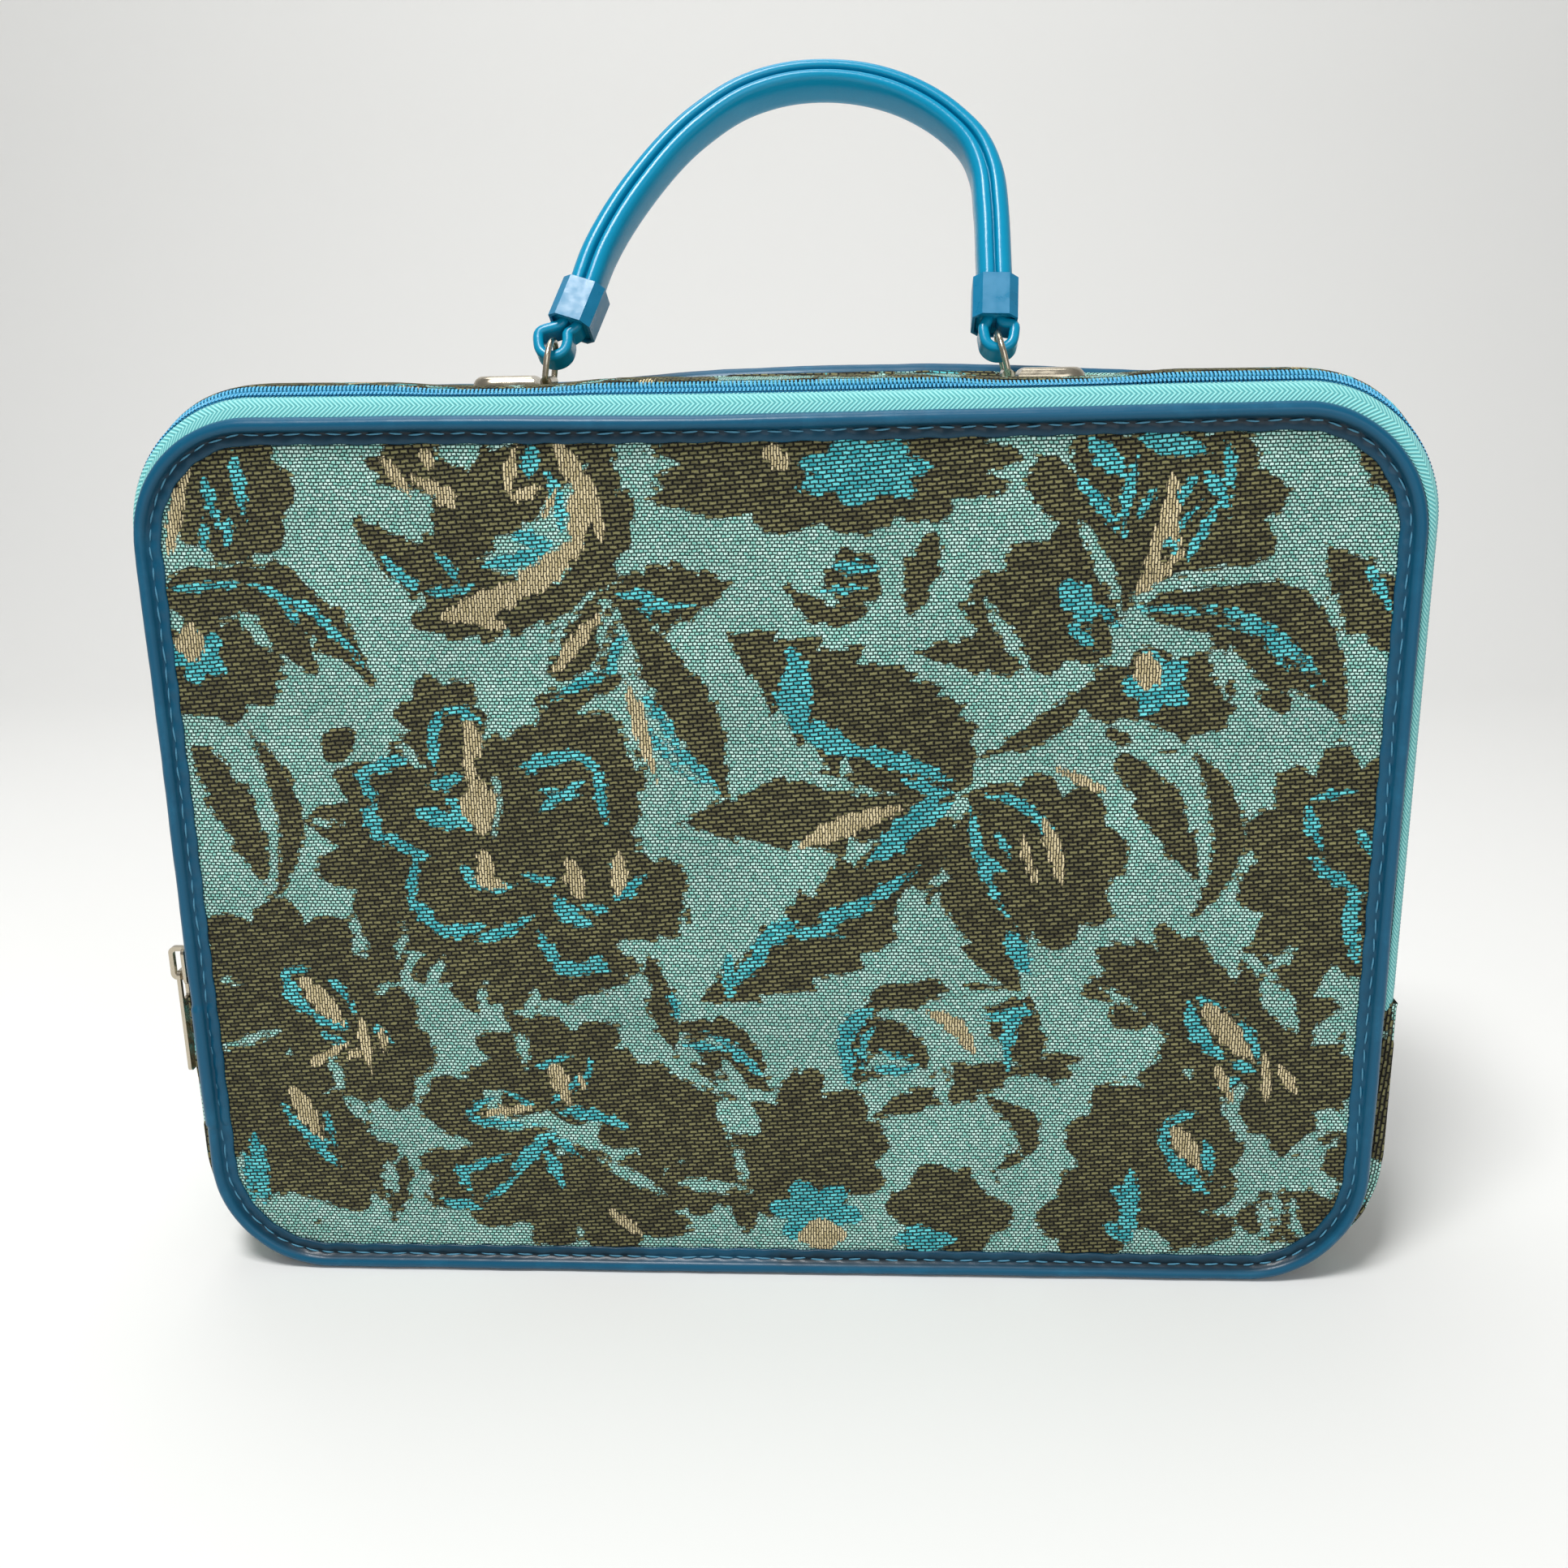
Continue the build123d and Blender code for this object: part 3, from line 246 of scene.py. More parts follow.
def swayed(points):
    """The front's edge sits a little left of the side band: 3 mm in on the right and 1 mm out on the left."""
    moved = points.copy()
    moved[..., 0] = points[..., 0] * 0.99 - 1.0
    return moved


def outline(shape):
    """A rounded rectangle standing on z = 0, as evenly matched samples: five straight runs with a quarter
    circle after each of the first four, from the middle of the bottom round by +X. A sample lies one radius
    out from a place on the path between the corners' centres. Returns place, outward normal and length."""
    width, height, r = shape
    half = width / 2 - r
    centres = np.array([(0, r), (half, r), (half, height - r), (-half, height - r), (-half, r), (0, r)])
    along, turned, corner = [], [], np.arange(22) / 22
    for k, samples in enumerate((75, 108, 150, 108, 75)):
        along += [k + np.arange(samples) / samples, np.full(len(corner), k + 1.0)]
        turned += [np.full(samples, k - 1.0), k - 1 + corner]
    along, angle = np.concatenate(along[:-1]), np.concatenate(turned[:-1]) * np.pi / 2
    normal = np.stack([np.cos(angle), np.sin(angle)], 1)
    centre = np.stack([np.interp(along, range(6), centres[:, axis]) for axis in (0, 1)], 1)
    place, normal = (np.vstack([part, part[:1]]) for part in (centre + r * normal, normal))
    return place, normal, travelled(place)


def piece(name, points, body, material, uv=None, masks=None, wrap_u=False, wrap_v=False):
    """A mesh of quads from one or more equal grids of points, shape (..., rows, columns, 3) in millimetres."""
    blocks = points.reshape((-1,) + points.shape[-3:])
    count, rows, columns = blocks.shape[:3]
    i, j = np.meshgrid(
        np.arange(rows if wrap_u else rows - 1), np.arange(columns if wrap_v else columns - 1), indexing="ij"
    )
    down, right = (i + 1) % rows * columns, (j + 1) % columns
    quad = np.stack([i * columns + j, down + j, down + right, i * columns + right], -1).reshape(-1, 4)
    faces = (quad[None] + (np.arange(count) * rows * columns)[:, None, None]).reshape(-1, 4)
    mesh = bpy.data.meshes.new(name)
    mesh.vertices.add(count * rows * columns)
    mesh.vertices.foreach_set("co", (blocks * 0.001).astype(np.float32).ravel())
    mesh.loops.add(faces.size)
    mesh.loops.foreach_set("vertex_index", faces.astype(np.int32).ravel())
    mesh.polygons.add(len(faces))
    mesh.polygons.foreach_set("loop_start", np.arange(0, faces.size, 4, dtype=np.int32))
    mesh.polygons.foreach_set("use_smooth", np.full(len(faces), True))
    if uv is not None:
        layer = mesh.uv_layers.new(name="cloth")
        layer.data.foreach_set("uv", (uv.reshape(-1, 2) * 0.001)[faces.ravel()].astype(np.float32).ravel())
    for key, value in (masks or {}).items():
        mesh.attributes.new(key, "FLOAT", "POINT").data.foreach_set("value", value.astype(np.float32).ravel())
    mesh.update()
    mesh.validate()
    thing = bpy.data.objects.new(name, mesh)
    bpy.context.scene.collection.objects.link(thing)
    mesh.materials.append(material)
    if body:
        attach(thing, body)
    return thing


def field(blooms, leaves, x, z):
    """How far inside the nearest motif a point lies, in mm. A bloom is an ellipse whose edge swings in
    between its petals; a leaf is as wide as a sine along its bent midrib, with saw teeth on both edges."""
    inside = np.full(x.shape, -FAR)
    for cx, cz, half_w, half_h, petals, depth in blooms:
        near = (abs(x - cx) < half_w * 1.3 + FAR) & (abs(z - cz) < half_h * 1.3 + FAR)
        u, v = (x[near] - cx) / half_w, (z[near] - cz) / half_h
        swing = 2 * np.abs(np.cos(petals * (np.arctan2(v, u) + 0.37 * petals) / 2))
        edge = 1 - 1.6 * depth + depth * swing
        inside[near] = np.maximum(inside[near], (edge - np.hypot(u, v)) * min(half_w, half_h))
    for x0, z0, x1, z1, width, *rest in leaves:
        teeth, bend = (*rest, 0, 0)[:2]
        long = math.hypot(x1 - x0, z1 - z0)
        ex, ez = (x1 - x0) / long, (z1 - z0) / long
        reach = long / 2 + width + abs(bend) + FAR
        near = (abs(x - (x0 + x1) / 2) < reach) & (abs(z - (z0 + z1) / 2) < reach)
        px, pz = x[near] - x0, z[near] - z0
        along, across = (px * ex + pz * ez) / long, pz * ex - px * ez
        t = np.clip(along, 0, 1)
        half = width / 2 * np.sin(np.pi * t**0.8) ** 0.8
        if teeth:
            half = half * (1 - 0.34 * ((t * teeth) % 1))
        depth = np.minimum(half - np.abs(across - 4 * bend * t * (1 - t)), np.minimum(along, 1 - along) * long + 0.6)
        inside[near] = np.maximum(inside[near], depth)
    return np.clip(inside, -FAR, FAR)


def motifs(x, z):
    """The three colours' fields at a point of the cloth."""
    return {
        "olive": np.minimum(field(OLIVE_BLOOMS, OLIVE_LEAVES, x, z), -field([], GROUND_VEINS, x, z)),
        "blue": field(BLUE_BLOOMS, BLUE_LEAVES, x, z),
        "beige": field(BEIGE_BLOOMS, BEIGE_LEAVES, x, z),
    }


def repeated(x, z):
    """The same cloth anywhere else on the bag: the layout repeats across and up. For 40 mm after each seam
    the motifs of the one repeat shrink by a square while those of the next grow."""
    x, z = (x - SEAM_X) % REPEAT_ACROSS + SEAM_X, z % REPEAT_UP
    first, second = motifs(x, z), motifs(x + REPEAT_ACROSS, z)
    share = smooth(SEAM_X, SEAM_X + 40, x)
    return {key: np.maximum(first[key] - 12 * (1 - share) ** 2, second[key] - 12 * share**2) for key in first}


# Colours and materials

def linear(code):
    """An sRGB hex colour as linear red, green, blue and alpha."""
    value = np.array([int(code[i : i + 2], 16) / 255 for i in (1, 3, 5)])
    value = np.where(value <= 0.04045, value / 12.92, ((value + 0.055) / 1.055) ** 2.4)
    return (*value.tolist(), 1.0)


def add(tree, kind, inputs, out=0, **settings):
    """A shader node with its settings and links, given as its output of the number or name out. An input
    is another node's socket, which is linked, or a plain value."""
    made = tree.nodes.new("ShaderNode" + kind)
    for key, value in settings.items():
        setattr(made, key, value)
    for key, value in inputs.items():
        if isinstance(value, bpy.types.NodeSocket):
            tree.links.new(value, made.inputs[key])
        else:
            made.inputs[key].default_value = value
    return made.outputs[out] if made.outputs else None


def started(name, coordinates, output, **settings):
    """A material, its tree, and the place in mm that these texture coordinates give."""
    material = bpy.data.materials.new(name)
    material.use_nodes = True
    tree = material.node_tree
    tree.nodes.clear()
    place = add(tree, coordinates, {}, out=output, **settings)
    return material, tree, add(tree, "Mapping", {"Vector": place, "Scale": (1000, 1000, 1000)})


def surfaced(material, inputs):
    """The material, with a Principled shader of these inputs as its surface."""
    tree = material.node_tree
    add(tree, "OutputMaterial", {"Surface": add(tree, "BsdfPrincipled", inputs)})
    return material


def brocade_cloth():
    """Jacquard brocade: a plain mint ground woven at 1.1 by 1.5 mm, weft floats in olive and turquoise some
    3 mm long in rows 1.4 and 1.3 mm apart, and upright beige warp floats 0.9 mm apart. Its matt yarns catch
    the light one by one, and each figure's edge breaks up yarn by yarn."""
    material, tree, flat = started("jacquard_brocade", "UVMap", 0, uv_map="cloth")
    wander = add(tree, "TexNoise", {"Vector": flat, "Scale": 0.35, "Detail": 2.0, "Roughness": 0.6}, out="Color")
    drift = add(tree, "VectorMath", {0: wander, 1: (0.5, 0.5, 0.5)}, operation="SUBTRACT")
    drift = add(tree, "VectorMath", {0: drift, 1: (0.9, 0.9, 0)}, operation="MULTIPLY")
    woven = add(tree, "VectorMath", {0: flat, 1: drift}, operation="ADD")
    slanted, upright = (
        add(tree, "Mapping", {"Vector": woven, "Rotation": (0, 0, math.radians(turn))}) for turn in (-4, 90)
    )
    ragged = add(tree, "TexNoise", {"Vector": flat, "Scale": 0.9, "Detail": 3.0, "Roughness": 0.7})
    fray = add(tree, "Math", {0: ragged, 1: 3.6, 2: -1.8}, operation="MULTIPLY_ADD")
    # Each yarn: course, length and spacing of its floats, gap, their colours and the gap's, then how far
    # the fray and the single floats move the edge of its figures
    yarns = {
        "ground": (woven, 1.5, 1.1, 0.27, "#d6fdf2", "#94dacb", "#163b37", 0, 0),
        "olive": (slanted, 2.9, 1.4, 0.46, "#87845a", "#545136", "#080704", 0.5, 2.2),
        "blue": (slanted, 2.6, 1.3, 0.34, "#74e6ea", "#34aab3", "#05222a", 0.35, 1.7),
        "beige": (upright, 2.8, 0.9, 0.22, "#ecdcb0", "#c2b386", "#3a3222", 0.3, 1.4),
    }
    for key, (course, length, spacing, gap, light, dark, shadow, soft, jump) in yarns.items():
        laid = {"Vector": course, "Scale": 1.0, "Mortar Smooth": 0.85, "Brick Width": length, "Row Height": spacing}
        tints = {"Color1": linear(light), "Color2": linear(dark), "Mortar": linear(shadow), "Mortar Size": gap}
        yarn = add(tree, "TexBrick", {**laid, **tints})
        if key == "ground":
            colour, height = yarn, yarn.node.outputs["Fac"]
            continue
        coin = {"Color1": linear("#ffffff"), "Color2": linear("#000000"), "Mortar Size": 0.0}
        whole = add(tree, "TexBrick", {**laid, **coin})
        picked = add(tree, "Math", {0: whole, 1: jump, 2: -jump / 2}, operation="MULTIPLY_ADD")
        inside = add(tree, "Attribute", {}, out="Fac", attribute_name=key)
        rough = add(tree, "Math", {0: fray, 1: soft, 2: inside}, operation="MULTIPLY_ADD")
        rough = add(tree, "Math", {0: rough, 1: picked}, operation="ADD")
        mask = add(tree, "Math", {0: rough, 1: 2.6, 2: 0.5}, operation="MULTIPLY_ADD", use_clamp=True)
        colour = add(tree, "Mix", {0: mask, 6: colour, 7: yarn}, out=2, data_type="RGBA")
        height = add(tree, "Mix", {0: mask, 2: height, 3: yarn.node.outputs["Fac"]}, data_type="FLOAT")
    wear = add(tree, "TexNoise", {"Vector": flat, "Scale": 0.028, "Detail": 4.0})
    patchy = {"Value": wear, "From Min": 0.3, "From Max": 0.7, "To Min": 0.86, "To Max": 1.08}
    raised = add(tree, "Math", {0: height, 1: -1.0, 2: 1.0}, operation="MULTIPLY_ADD")
    fuzz = add(tree, "Math", {0: ragged, 1: 0.5, 2: raised}, operation="MULTIPLY_ADD")
    return surfaced(material, {
        "Base Color": add(tree, "VectorMath", {0: colour, 1: add(tree, "MapRange", patchy)}, operation="MULTIPLY"),
        "Normal": add(tree, "Bump", {"Strength": 1.0, "Distance": 0.0009, "Height": fuzz}),
        "Roughness": 0.85, "Specular IOR Level": 0.2, "Sheen Weight": 0.05, "Sheen Roughness": 0.5,
    })


def coated_vinyl(name, code, pale, roughness, grain, scuff, shade_colour=None):
    """Calendered vinyl: one even, deep colour under a thin clear skin, so that lights show as soft streaks
    over a faint leather grain. It is paler where it rubs, and, where a shade colour is given, darkened by painted
    shade."""
    material, tree, flat = started(name, "TexCoord", "Object")
    fine = add(tree, "TexNoise", {"Vector": flat, "Scale": grain, "Detail": 4.0, "Roughness": 0.65})
    broad = add(tree, "TexNoise", {"Vector": flat, "Scale": 0.05, "Detail": 5.0, "Roughness": 0.7})
    rubbed = add(tree, "MapRange", {"Value": broad, "From Min": 0.52, "From Max": 0.72, "To Max": scuff})
    colour = add(tree, "Mix", {0: rubbed, 6: linear(code), 7: linear(pale)}, out=2, data_type="RGBA")
    # Painted shade: the colour is pulled towards the dark shade colour by a mesh attribute of painted shade, set on
    # the binding's flange under the bead
    if shade_colour:
        painted_shade = add(tree, "Attribute", {}, out="Fac", attribute_name="painted_shade")
        colour = add(tree, "Mix", {0: painted_shade, 6: colour, 7: linear(shade_colour)}, out=2, data_type="RGBA")
    return surfaced(material, {
        "Base Color": colour,
        "Normal": add(tree, "Bump", {"Strength": 0.25, "Distance": 0.0002, "Height": fine}),
        "Roughness": roughness, "Specular IOR Level": 0.26, "Coat Weight": 0.08, "Coat Roughness": 0.1,
    })


def herringbone_tape():
    """Woven polyester zip tape: ribs 1.5 mm apart slant one way and then the other on bands of 3.4 mm, so
    that it reads as a bright mint cloth with a fine even zigzag and a slight sheen. Each rib is pale mint on its crest
    and deeper teal in its groove, as painted shade."""
    material, tree, flat = started("woven_zip_tape", "UVMap", 0, uv_map="cloth")
    along = add(tree, "SeparateXYZ", {0: flat})
    band = add(tree, "Math", {0: along.node.outputs["Y"], 1: 3.4}, operation="PINGPONG")
    slant = add(tree, "Math", {0: band, 1: 1.5, 2: along}, operation="MULTIPLY_ADD")
    turn = add(tree, "Math", {0: slant, 1: 6.2832 / 1.5}, operation="MULTIPLY")
    rib = add(tree, "Math", {0: turn}, operation="SINE")
    rib = add(tree, "Math", {0: rib, 1: 0.5, 2: 0.5}, operation="MULTIPLY_ADD")
    # Painted shade: the colour follows the rib's height, pale on the crests and deeper teal in the grooves
    tints = {0: rib, 6: linear("#4aa9ae"), 7: linear("#a2ece8")}
    return surfaced(material, {
        "Base Color": add(tree, "Mix", tints, out=2, data_type="RGBA"),
        "Normal": add(tree, "Bump", {"Strength": 0.7, "Distance": 0.0003, "Height": rib}),
        "Roughness": 0.7, "Sheen Weight": 0.15,
    })


def lining_cloth():
    """Plain cotton lining: a close square weave drawn at 1.2 mm so that it shows, dull petrol blue and matt,
    which keeps the inside of the bag quiet."""
    material, tree, flat = started("plain_cotton_lining", "UVMap", 0, uv_map="cloth")
    # The gaps between the threads take the darkest colour: painted shade between the threads
    weave = add(tree, "TexBrick", {
        "Vector": flat, "Color1": linear("#3d8187"), "Color2": linear("#2f6f75"), "Mortar": linear("#1a474c"),
        "Scale": 1.0, "Mortar Size": 0.15, "Mortar Smooth": 0.85, "Brick Width": 1.3, "Row Height": 1.2,
    })
    gaps = {"Strength": 0.4, "Distance": 0.0002, "Height": weave.node.outputs["Fac"]}
    return surfaced(material, {
        "Base Color": weave, "Normal": add(tree, "Bump", gaps, invert=True), "Roughness": 0.9,
    })


def plated(name, code, roughness, scratch, metallic=1.0):
    """Sheet metal, plated or enamelled: broad clean reflections that dull slowly from place to place, drawn
    out by long fine scratches 0.4 mm apart."""
    material, tree, flat = started(name, "TexCoord", "Object")
    drawn = add(tree, "Mapping", {"Vector": flat, "Scale": (0.25, 2.5, 0.9)})
    lines = add(tree, "TexNoise", {"Vector": drawn, "Scale": 1.0, "Detail": 3.0})
    broad = add(tree, "TexNoise", {"Vector": flat, "Scale": 0.22, "Detail": 4.0})
    base = linear(code)
    darker = (*(v * 0.72 for v in base[:3]), 1.0)
    return surfaced(material, {
        "Base Color": add(tree, "Mix", {0: broad, 6: darker, 7: base}, out=2, data_type="RGBA"),
        "Roughness": add(tree, "MapRange", {
            "Value": broad, "From Min": 0.35, "From Max": 0.7, "To Min": roughness * 0.75, "To Max": roughness * 1.35,
        }),
        "Normal": add(tree, "Bump", {"Strength": scratch, "Distance": 0.0001, "Height": lines}),
        "Metallic": metallic,
    })


def plain_fibre(name, code, dark, size, roughness):
    """Fibre board, thread or moulded coil: one colour, broken by a fine mottle of the given size in mm that
    keeps it from looking like smooth plastic."""
    material, tree, flat = started(name, "TexCoord", "Object")
    speck = add(tree, "TexNoise", {"Vector": flat, "Scale": 1.0 / size, "Detail": 4.0})
    tints = {0: speck, 6: linear(dark), 7: linear(code)}
    return surfaced(material, {
        "Base Color": add(tree, "Mix", tints, out=2, data_type="RGBA"),
        "Normal": add(tree, "Bump", {"Strength": 0.3, "Distance": 0.0002, "Height": speck}),
        "Roughness": roughness,
    })


BROCADE = brocade_cloth()
# The binding's last colour is the painted shade under its bead
BINDING = coated_vinyl("calendered_vinyl_binding", "#045170", "#23789a", 0.38, 1.6, 0.3, "#031822")
HANDLE = coated_vinyl("glossy_vinyl_strap", "#0089b0", "#169bbd", 0.24, 0.8, 0.15)
CLIP = plated("enamelled_sheet_steel", "#0680ac", 0.34, 0.1, metallic=0.0)
TAPE = herringbone_tape()
LINING = lining_cloth()
NICKEL = plated("nickel_plated_steel", "#c9bfab", 0.26, 0.12)
STEEL = plated("zinc_plated_steel", "#a9a8a2", 0.38, 0.2)
COIL = plain_fibre("moulded_nylon_coil", "#5cc2e8", "#2f93c4", 2.0, 0.3)
THREAD = plain_fibre("polyester_thread", "#5c9db8", "#2c6c8c", 0.5, 0.6)
BOARD = plain_fibre("grey_fibre_board", "#a8946f", "#7d6c4e", 1.2, 0.9)


# Cloth panels

def panel(name, shape, inset, y, side, body, cloth=None):
    """A panel inside a rounded outline, facing side: each row runs from edge to edge of the outline at its
    height. Brocade is crowned by the root of a cosine each way plus a slow ripple, and its figures stand up
    a little; lining is flat but for the ripple."""
    made_of = (BROCADE, "brocade", 320, 236, 0.5) if cloth else (LINING, "lining", 60, 44, 0.0)
    material, slot, columns, rows, crown = made_of
    width, height, radius = shape
    half, top, r = width / 2 - inset, height - inset, radius - inset
    z = np.linspace(inset, top, rows)
    cut = np.maximum(np.maximum(inset + r - z, z - (top - r)), 0)
    reach = half - r + np.sqrt(np.maximum(r * r - cut * cut, 0))
    x = reach[:, None] * np.linspace(-1, 1, columns)
    z = np.repeat(z[:, None], columns, 1)
    swell = crown * np.cos(np.pi / 2 * (x / half)) ** 0.5 * np.cos(np.pi / 2 * (2 * z / height - 1) * 0.985) ** 0.5
    swell = swell + 0.3 * ripple(x, z, 90, 3) * np.minimum(1, np.maximum(0, half - np.abs(x)) / 25)
    masks = cloth(x, z) if cloth else {}
    if masks:
        swell = swell + 0.35 * smooth(-0.6, 0.8, masks["olive"]) + 0.12 * smooth(-0.5, 0.5, masks["blue"])
    points = sag(np.stack([x, y + side * swell, z], -1))
    uv = np.stack([x + 400, z], -1)
    if side > 0:
        points, uv = points[:, ::-1], uv[:, ::-1]
        masks = {key: mask[:, ::-1] for key, mask in masks.items()}
    return piece(name, points, body, material, uv=uv, masks=masks)


PANELS = (
    ("front_brocade", FRONT, 7.4, -46.0, -1, motifs, (0.386, 0.279), (
        "front_fabric", "front_fabric_lower", "front_olive_flowers", "front_olive_flowers_lower",
        "front_blue_petals", "front_blue_petals_lower", "front_beige_hearts", "front_beige_hearts_lower",
    )),
    ("back_brocade", BACK, 7.4, 46.2, 1, lambda x, z: repeated(40 - x, z), (0.392, 0.285), ("back_fabric",)),
    ("front_inner_cloth", FRONT, 7.0, -42.4, 1, None, (0.386, 0.279), ("front_lining", "front_lining_lower")),
    ("back_inner_cloth", BACK, 9.0, 42.6, -1, None, (0.388, 0.281), ("back_lining",)),
)
for name, shape, inset, y, side, cloth, flat, nodes in PANELS:
    body, board = (None, "front_board") if shape is FRONT else ("case", "back_board")
    made = panel(name, shape, inset, y, side, body, cloth)
    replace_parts(made, *nodes)
    if shape is FRONT:
        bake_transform(made)


# The side band, bindings and zip follow the outlines

def track(shape, t):
    """Points of an outline at shares t of its samples, the same share on every outline: place, normal, length."""
    place, normal, length = outline(shape)
    shares = np.linspace(0, 1, len(place))
    x, z, nx, nz, length = (np.interp(t, shares, row) for row in (*place.T, *normal.T, length))
    size = np.hypot(nx, nz)
    return x, z, nx / size, nz / size, length


def beside(tracked, inset, y):
    """Points an inset inside a tracked outline, at a depth of y."""
    x, z, nx, nz, _ = tracked
    px = x - inset * nx
    return np.stack([px, np.broadcast_to(y, px.shape), z - inset * nz], -1)


def shares_at(shape, lengths):
    """Shares of the outline's samples at given lengths along it."""
    length = outline(shape)[2]
    return np.interp(lengths % length[-1], length, np.linspace(0, 1, len(length)))


def passes(shape, height):
    """The lengths along an outline at which it passes a height, on its right and on its left side."""
    place, _, length = outline(shape)
    half = len(place) // 2
    right = np.interp(height, place[:half, 1], length[:half])
    return right, np.interp(height, place[half:, 1][::-1], length[half:][::-1])


def stretch(shape, step, upper=None, height=FOLD):
    """Shares spaced evenly by length: the whole outline, or its part above or below a height."""
    total = outline(shape)[2][-1]
    if upper is None:
        count = int(total / step)
        return shares_at(shape, np.arange(count) / count * total)
    low, high = passes(shape, height)
    if not upper:
        low, high = high - total, low
    return shares_at(shape, np.linspace(low, high, int((high - low) / step) + 1))


def side_band(name, upper):
    """The brocade side band: a profile of turned edge, flat and turned edge carried round the outline. Below
    the fold it runs from bead to bead; above, it starts behind the zip. The olive figure stands up by 0.3 mm,
    and the band has a ripple of 0.25 mm; both fade out within 6 mm of its edges."""
    front = -33.5 if upper else -42.4
    tracked = track(BAND, stretch(BAND, 1.45, upper, FOLD + 0.3 if upper else FOLD - 0.3))
    turned_in = [(1.6, front + 0.6), (0.9, front + 0.15), (0.3, front + 0.05)]
    if not upper:
        turned_in = [(8.0, front), (4.0, front - 0.15), (1.0, front - 0.1), (0.3, front + 0.05)]
    flat = np.stack([np.zeros(54), np.linspace(front + 0.4, 42.0, 54)], 1)
    profile = np.concatenate([turned_in, flat, [(0.3, 42.35), (1.0, 42.5), (4.0, 42.55), (8.0, 42.4)]])
    girth, length = travelled(profile), tracked[4]
    across, along = np.meshgrid(girth, length, indexing="ij")
    woven = across - girth[len(turned_in)] + flat[0, 1] + 96
    masks = repeated(along, woven)
    push = 0.3 * smooth(-0.6, 0.8, masks["olive"]) + 0.25 * ripple(along, across, 70, 8)
    push = push * smooth(0, 6, across) * smooth(0, 6, girth[-1] - across)
    inset, y = profile.T[..., None]
    points = sag(beside(tracked, inset - push, y))
    return piece(name, points, "case", BROCADE, uv=np.stack([along, woven], -1), masks=masks)


for name, upper, flat in (("side_band_upper", True, (0.767, 0.087)), ("side_band_lower", False, (0.547, 0.101))):
    made = side_band(name, upper)
    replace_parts(made, "gusset_fabric")

# The binding's flange, from its free edge to the bead: inset, height above the panel's face towards the
# inside, how much of a stitch's dip it takes, how much painted shade it takes (darkest under the bead's overhang)
FLANGE = (
    (8.4, 0.05, 0.5, 0.7), (8.25, -0.45, 0.7, 0.6), (7.5, -0.68, 0.9, 0.6), (6.6, -0.72, 1, 0.75),
    (5.8, -0.62, 1, 0.9), (5.2, -0.5, 0.8, 1), (4.75, -0.75, 0.3, 0.95),
)


def binding(name, shape, face, body):
    """A corded binding: an oval bead 4.8 by 7 mm and a flange that laps on to the panel, as one closed profile.
    The flange dips at every stitch, by a cosine of the length with the 6.5 mm stitch pitch that fades away
    from the stitch line, and scallops between; the bead swells and bends by slow ripples. Seven stations
    make a stitch. The front's ends lap over each other on the left side, between 54 and 99 mm up."""
    total = outline(shape)[2][-1]
    count = int(round(total / STITCH_PITCH)) * 7
    tracked = track(shape, shares_at(shape, np.arange(count) / count * total))
    x, z, _, nz, length = tracked
    angle = np.linspace(math.radians(-68), math.radians(232), 19)[1:-1]
    bead = np.stack([BEAD_R - BEAD_R * np.sin(angle), -3.45 * np.cos(angle), angle * 0, angle * 0], 1)
    # The bead's first two rows, at its root, carry painted shade too
    bead[:2, 3] = (0.75, 0.3)
    profile = np.concatenate([FLANGE, bead, [(5.6, 0.4, 0, 0), (8.0, 0.36, 0, 0)]])
    inset, rise, lap, shade_depth = profile.T[..., None]
    on_bead = np.zeros(inset.shape)
    on_bead[len(FLANGE):-2] = 1
    phase = 2 * np.pi * length / STITCH_PITCH
    rise = rise - lap * (0.42 * (0.5 - 0.5 * np.cos(phase)) - 0.1) * np.exp(-((inset - 5.6) / 1.6) ** 2)
    scallop = 0.35 * np.sin(phase / 2 + 1.3 * ripple(length, 0, 60, 5)) + 0.25 * ripple(length, 0, 23, 6)
    inset = inset + np.where(inset > 6.4, scallop, 0.0) * lap
    swell = 0.16 * ripple(length, 0, 38, 11) + 0.08 * ripple(length, 0, 11, 12)
    if face > 0:
        lapped = smooth(54.2, 55.4, z) * smooth(99.4, 98.2, z) * (x < 0)
        swell = swell + 0.55 * lapped
        rise = rise - 0.45 * lap * (inset[:, :1] < 8.2) * lapped
    grow = 1 + on_bead * swell / 3.0
    inset = BEAD_R + (inset - BEAD_R) * grow + 0.3 * ripple(length, 0, 130, 9) * on_bead
    points = sag(beside(tracked, inset, face * (rise * grow - BEAD_Y)))
    # Painted shade on the flange and the bead's root: strongest on the top and bottom runs of the outline, weaker in
    # slow patches along it
    patchy = 1 - 0.5 * smooth(0.1, 0.7, ripple(length, 0, 90, 21))
    painted_shade = shade_depth * patchy * (0.3 + 0.7 * np.abs(nz))
    if face > 0:
        points, painted_shade = swayed(points)[::-1], painted_shade[::-1]
    return piece(name, points, body, BINDING, masks={"painted_shade": painted_shade}, wrap_u=True, wrap_v=True)


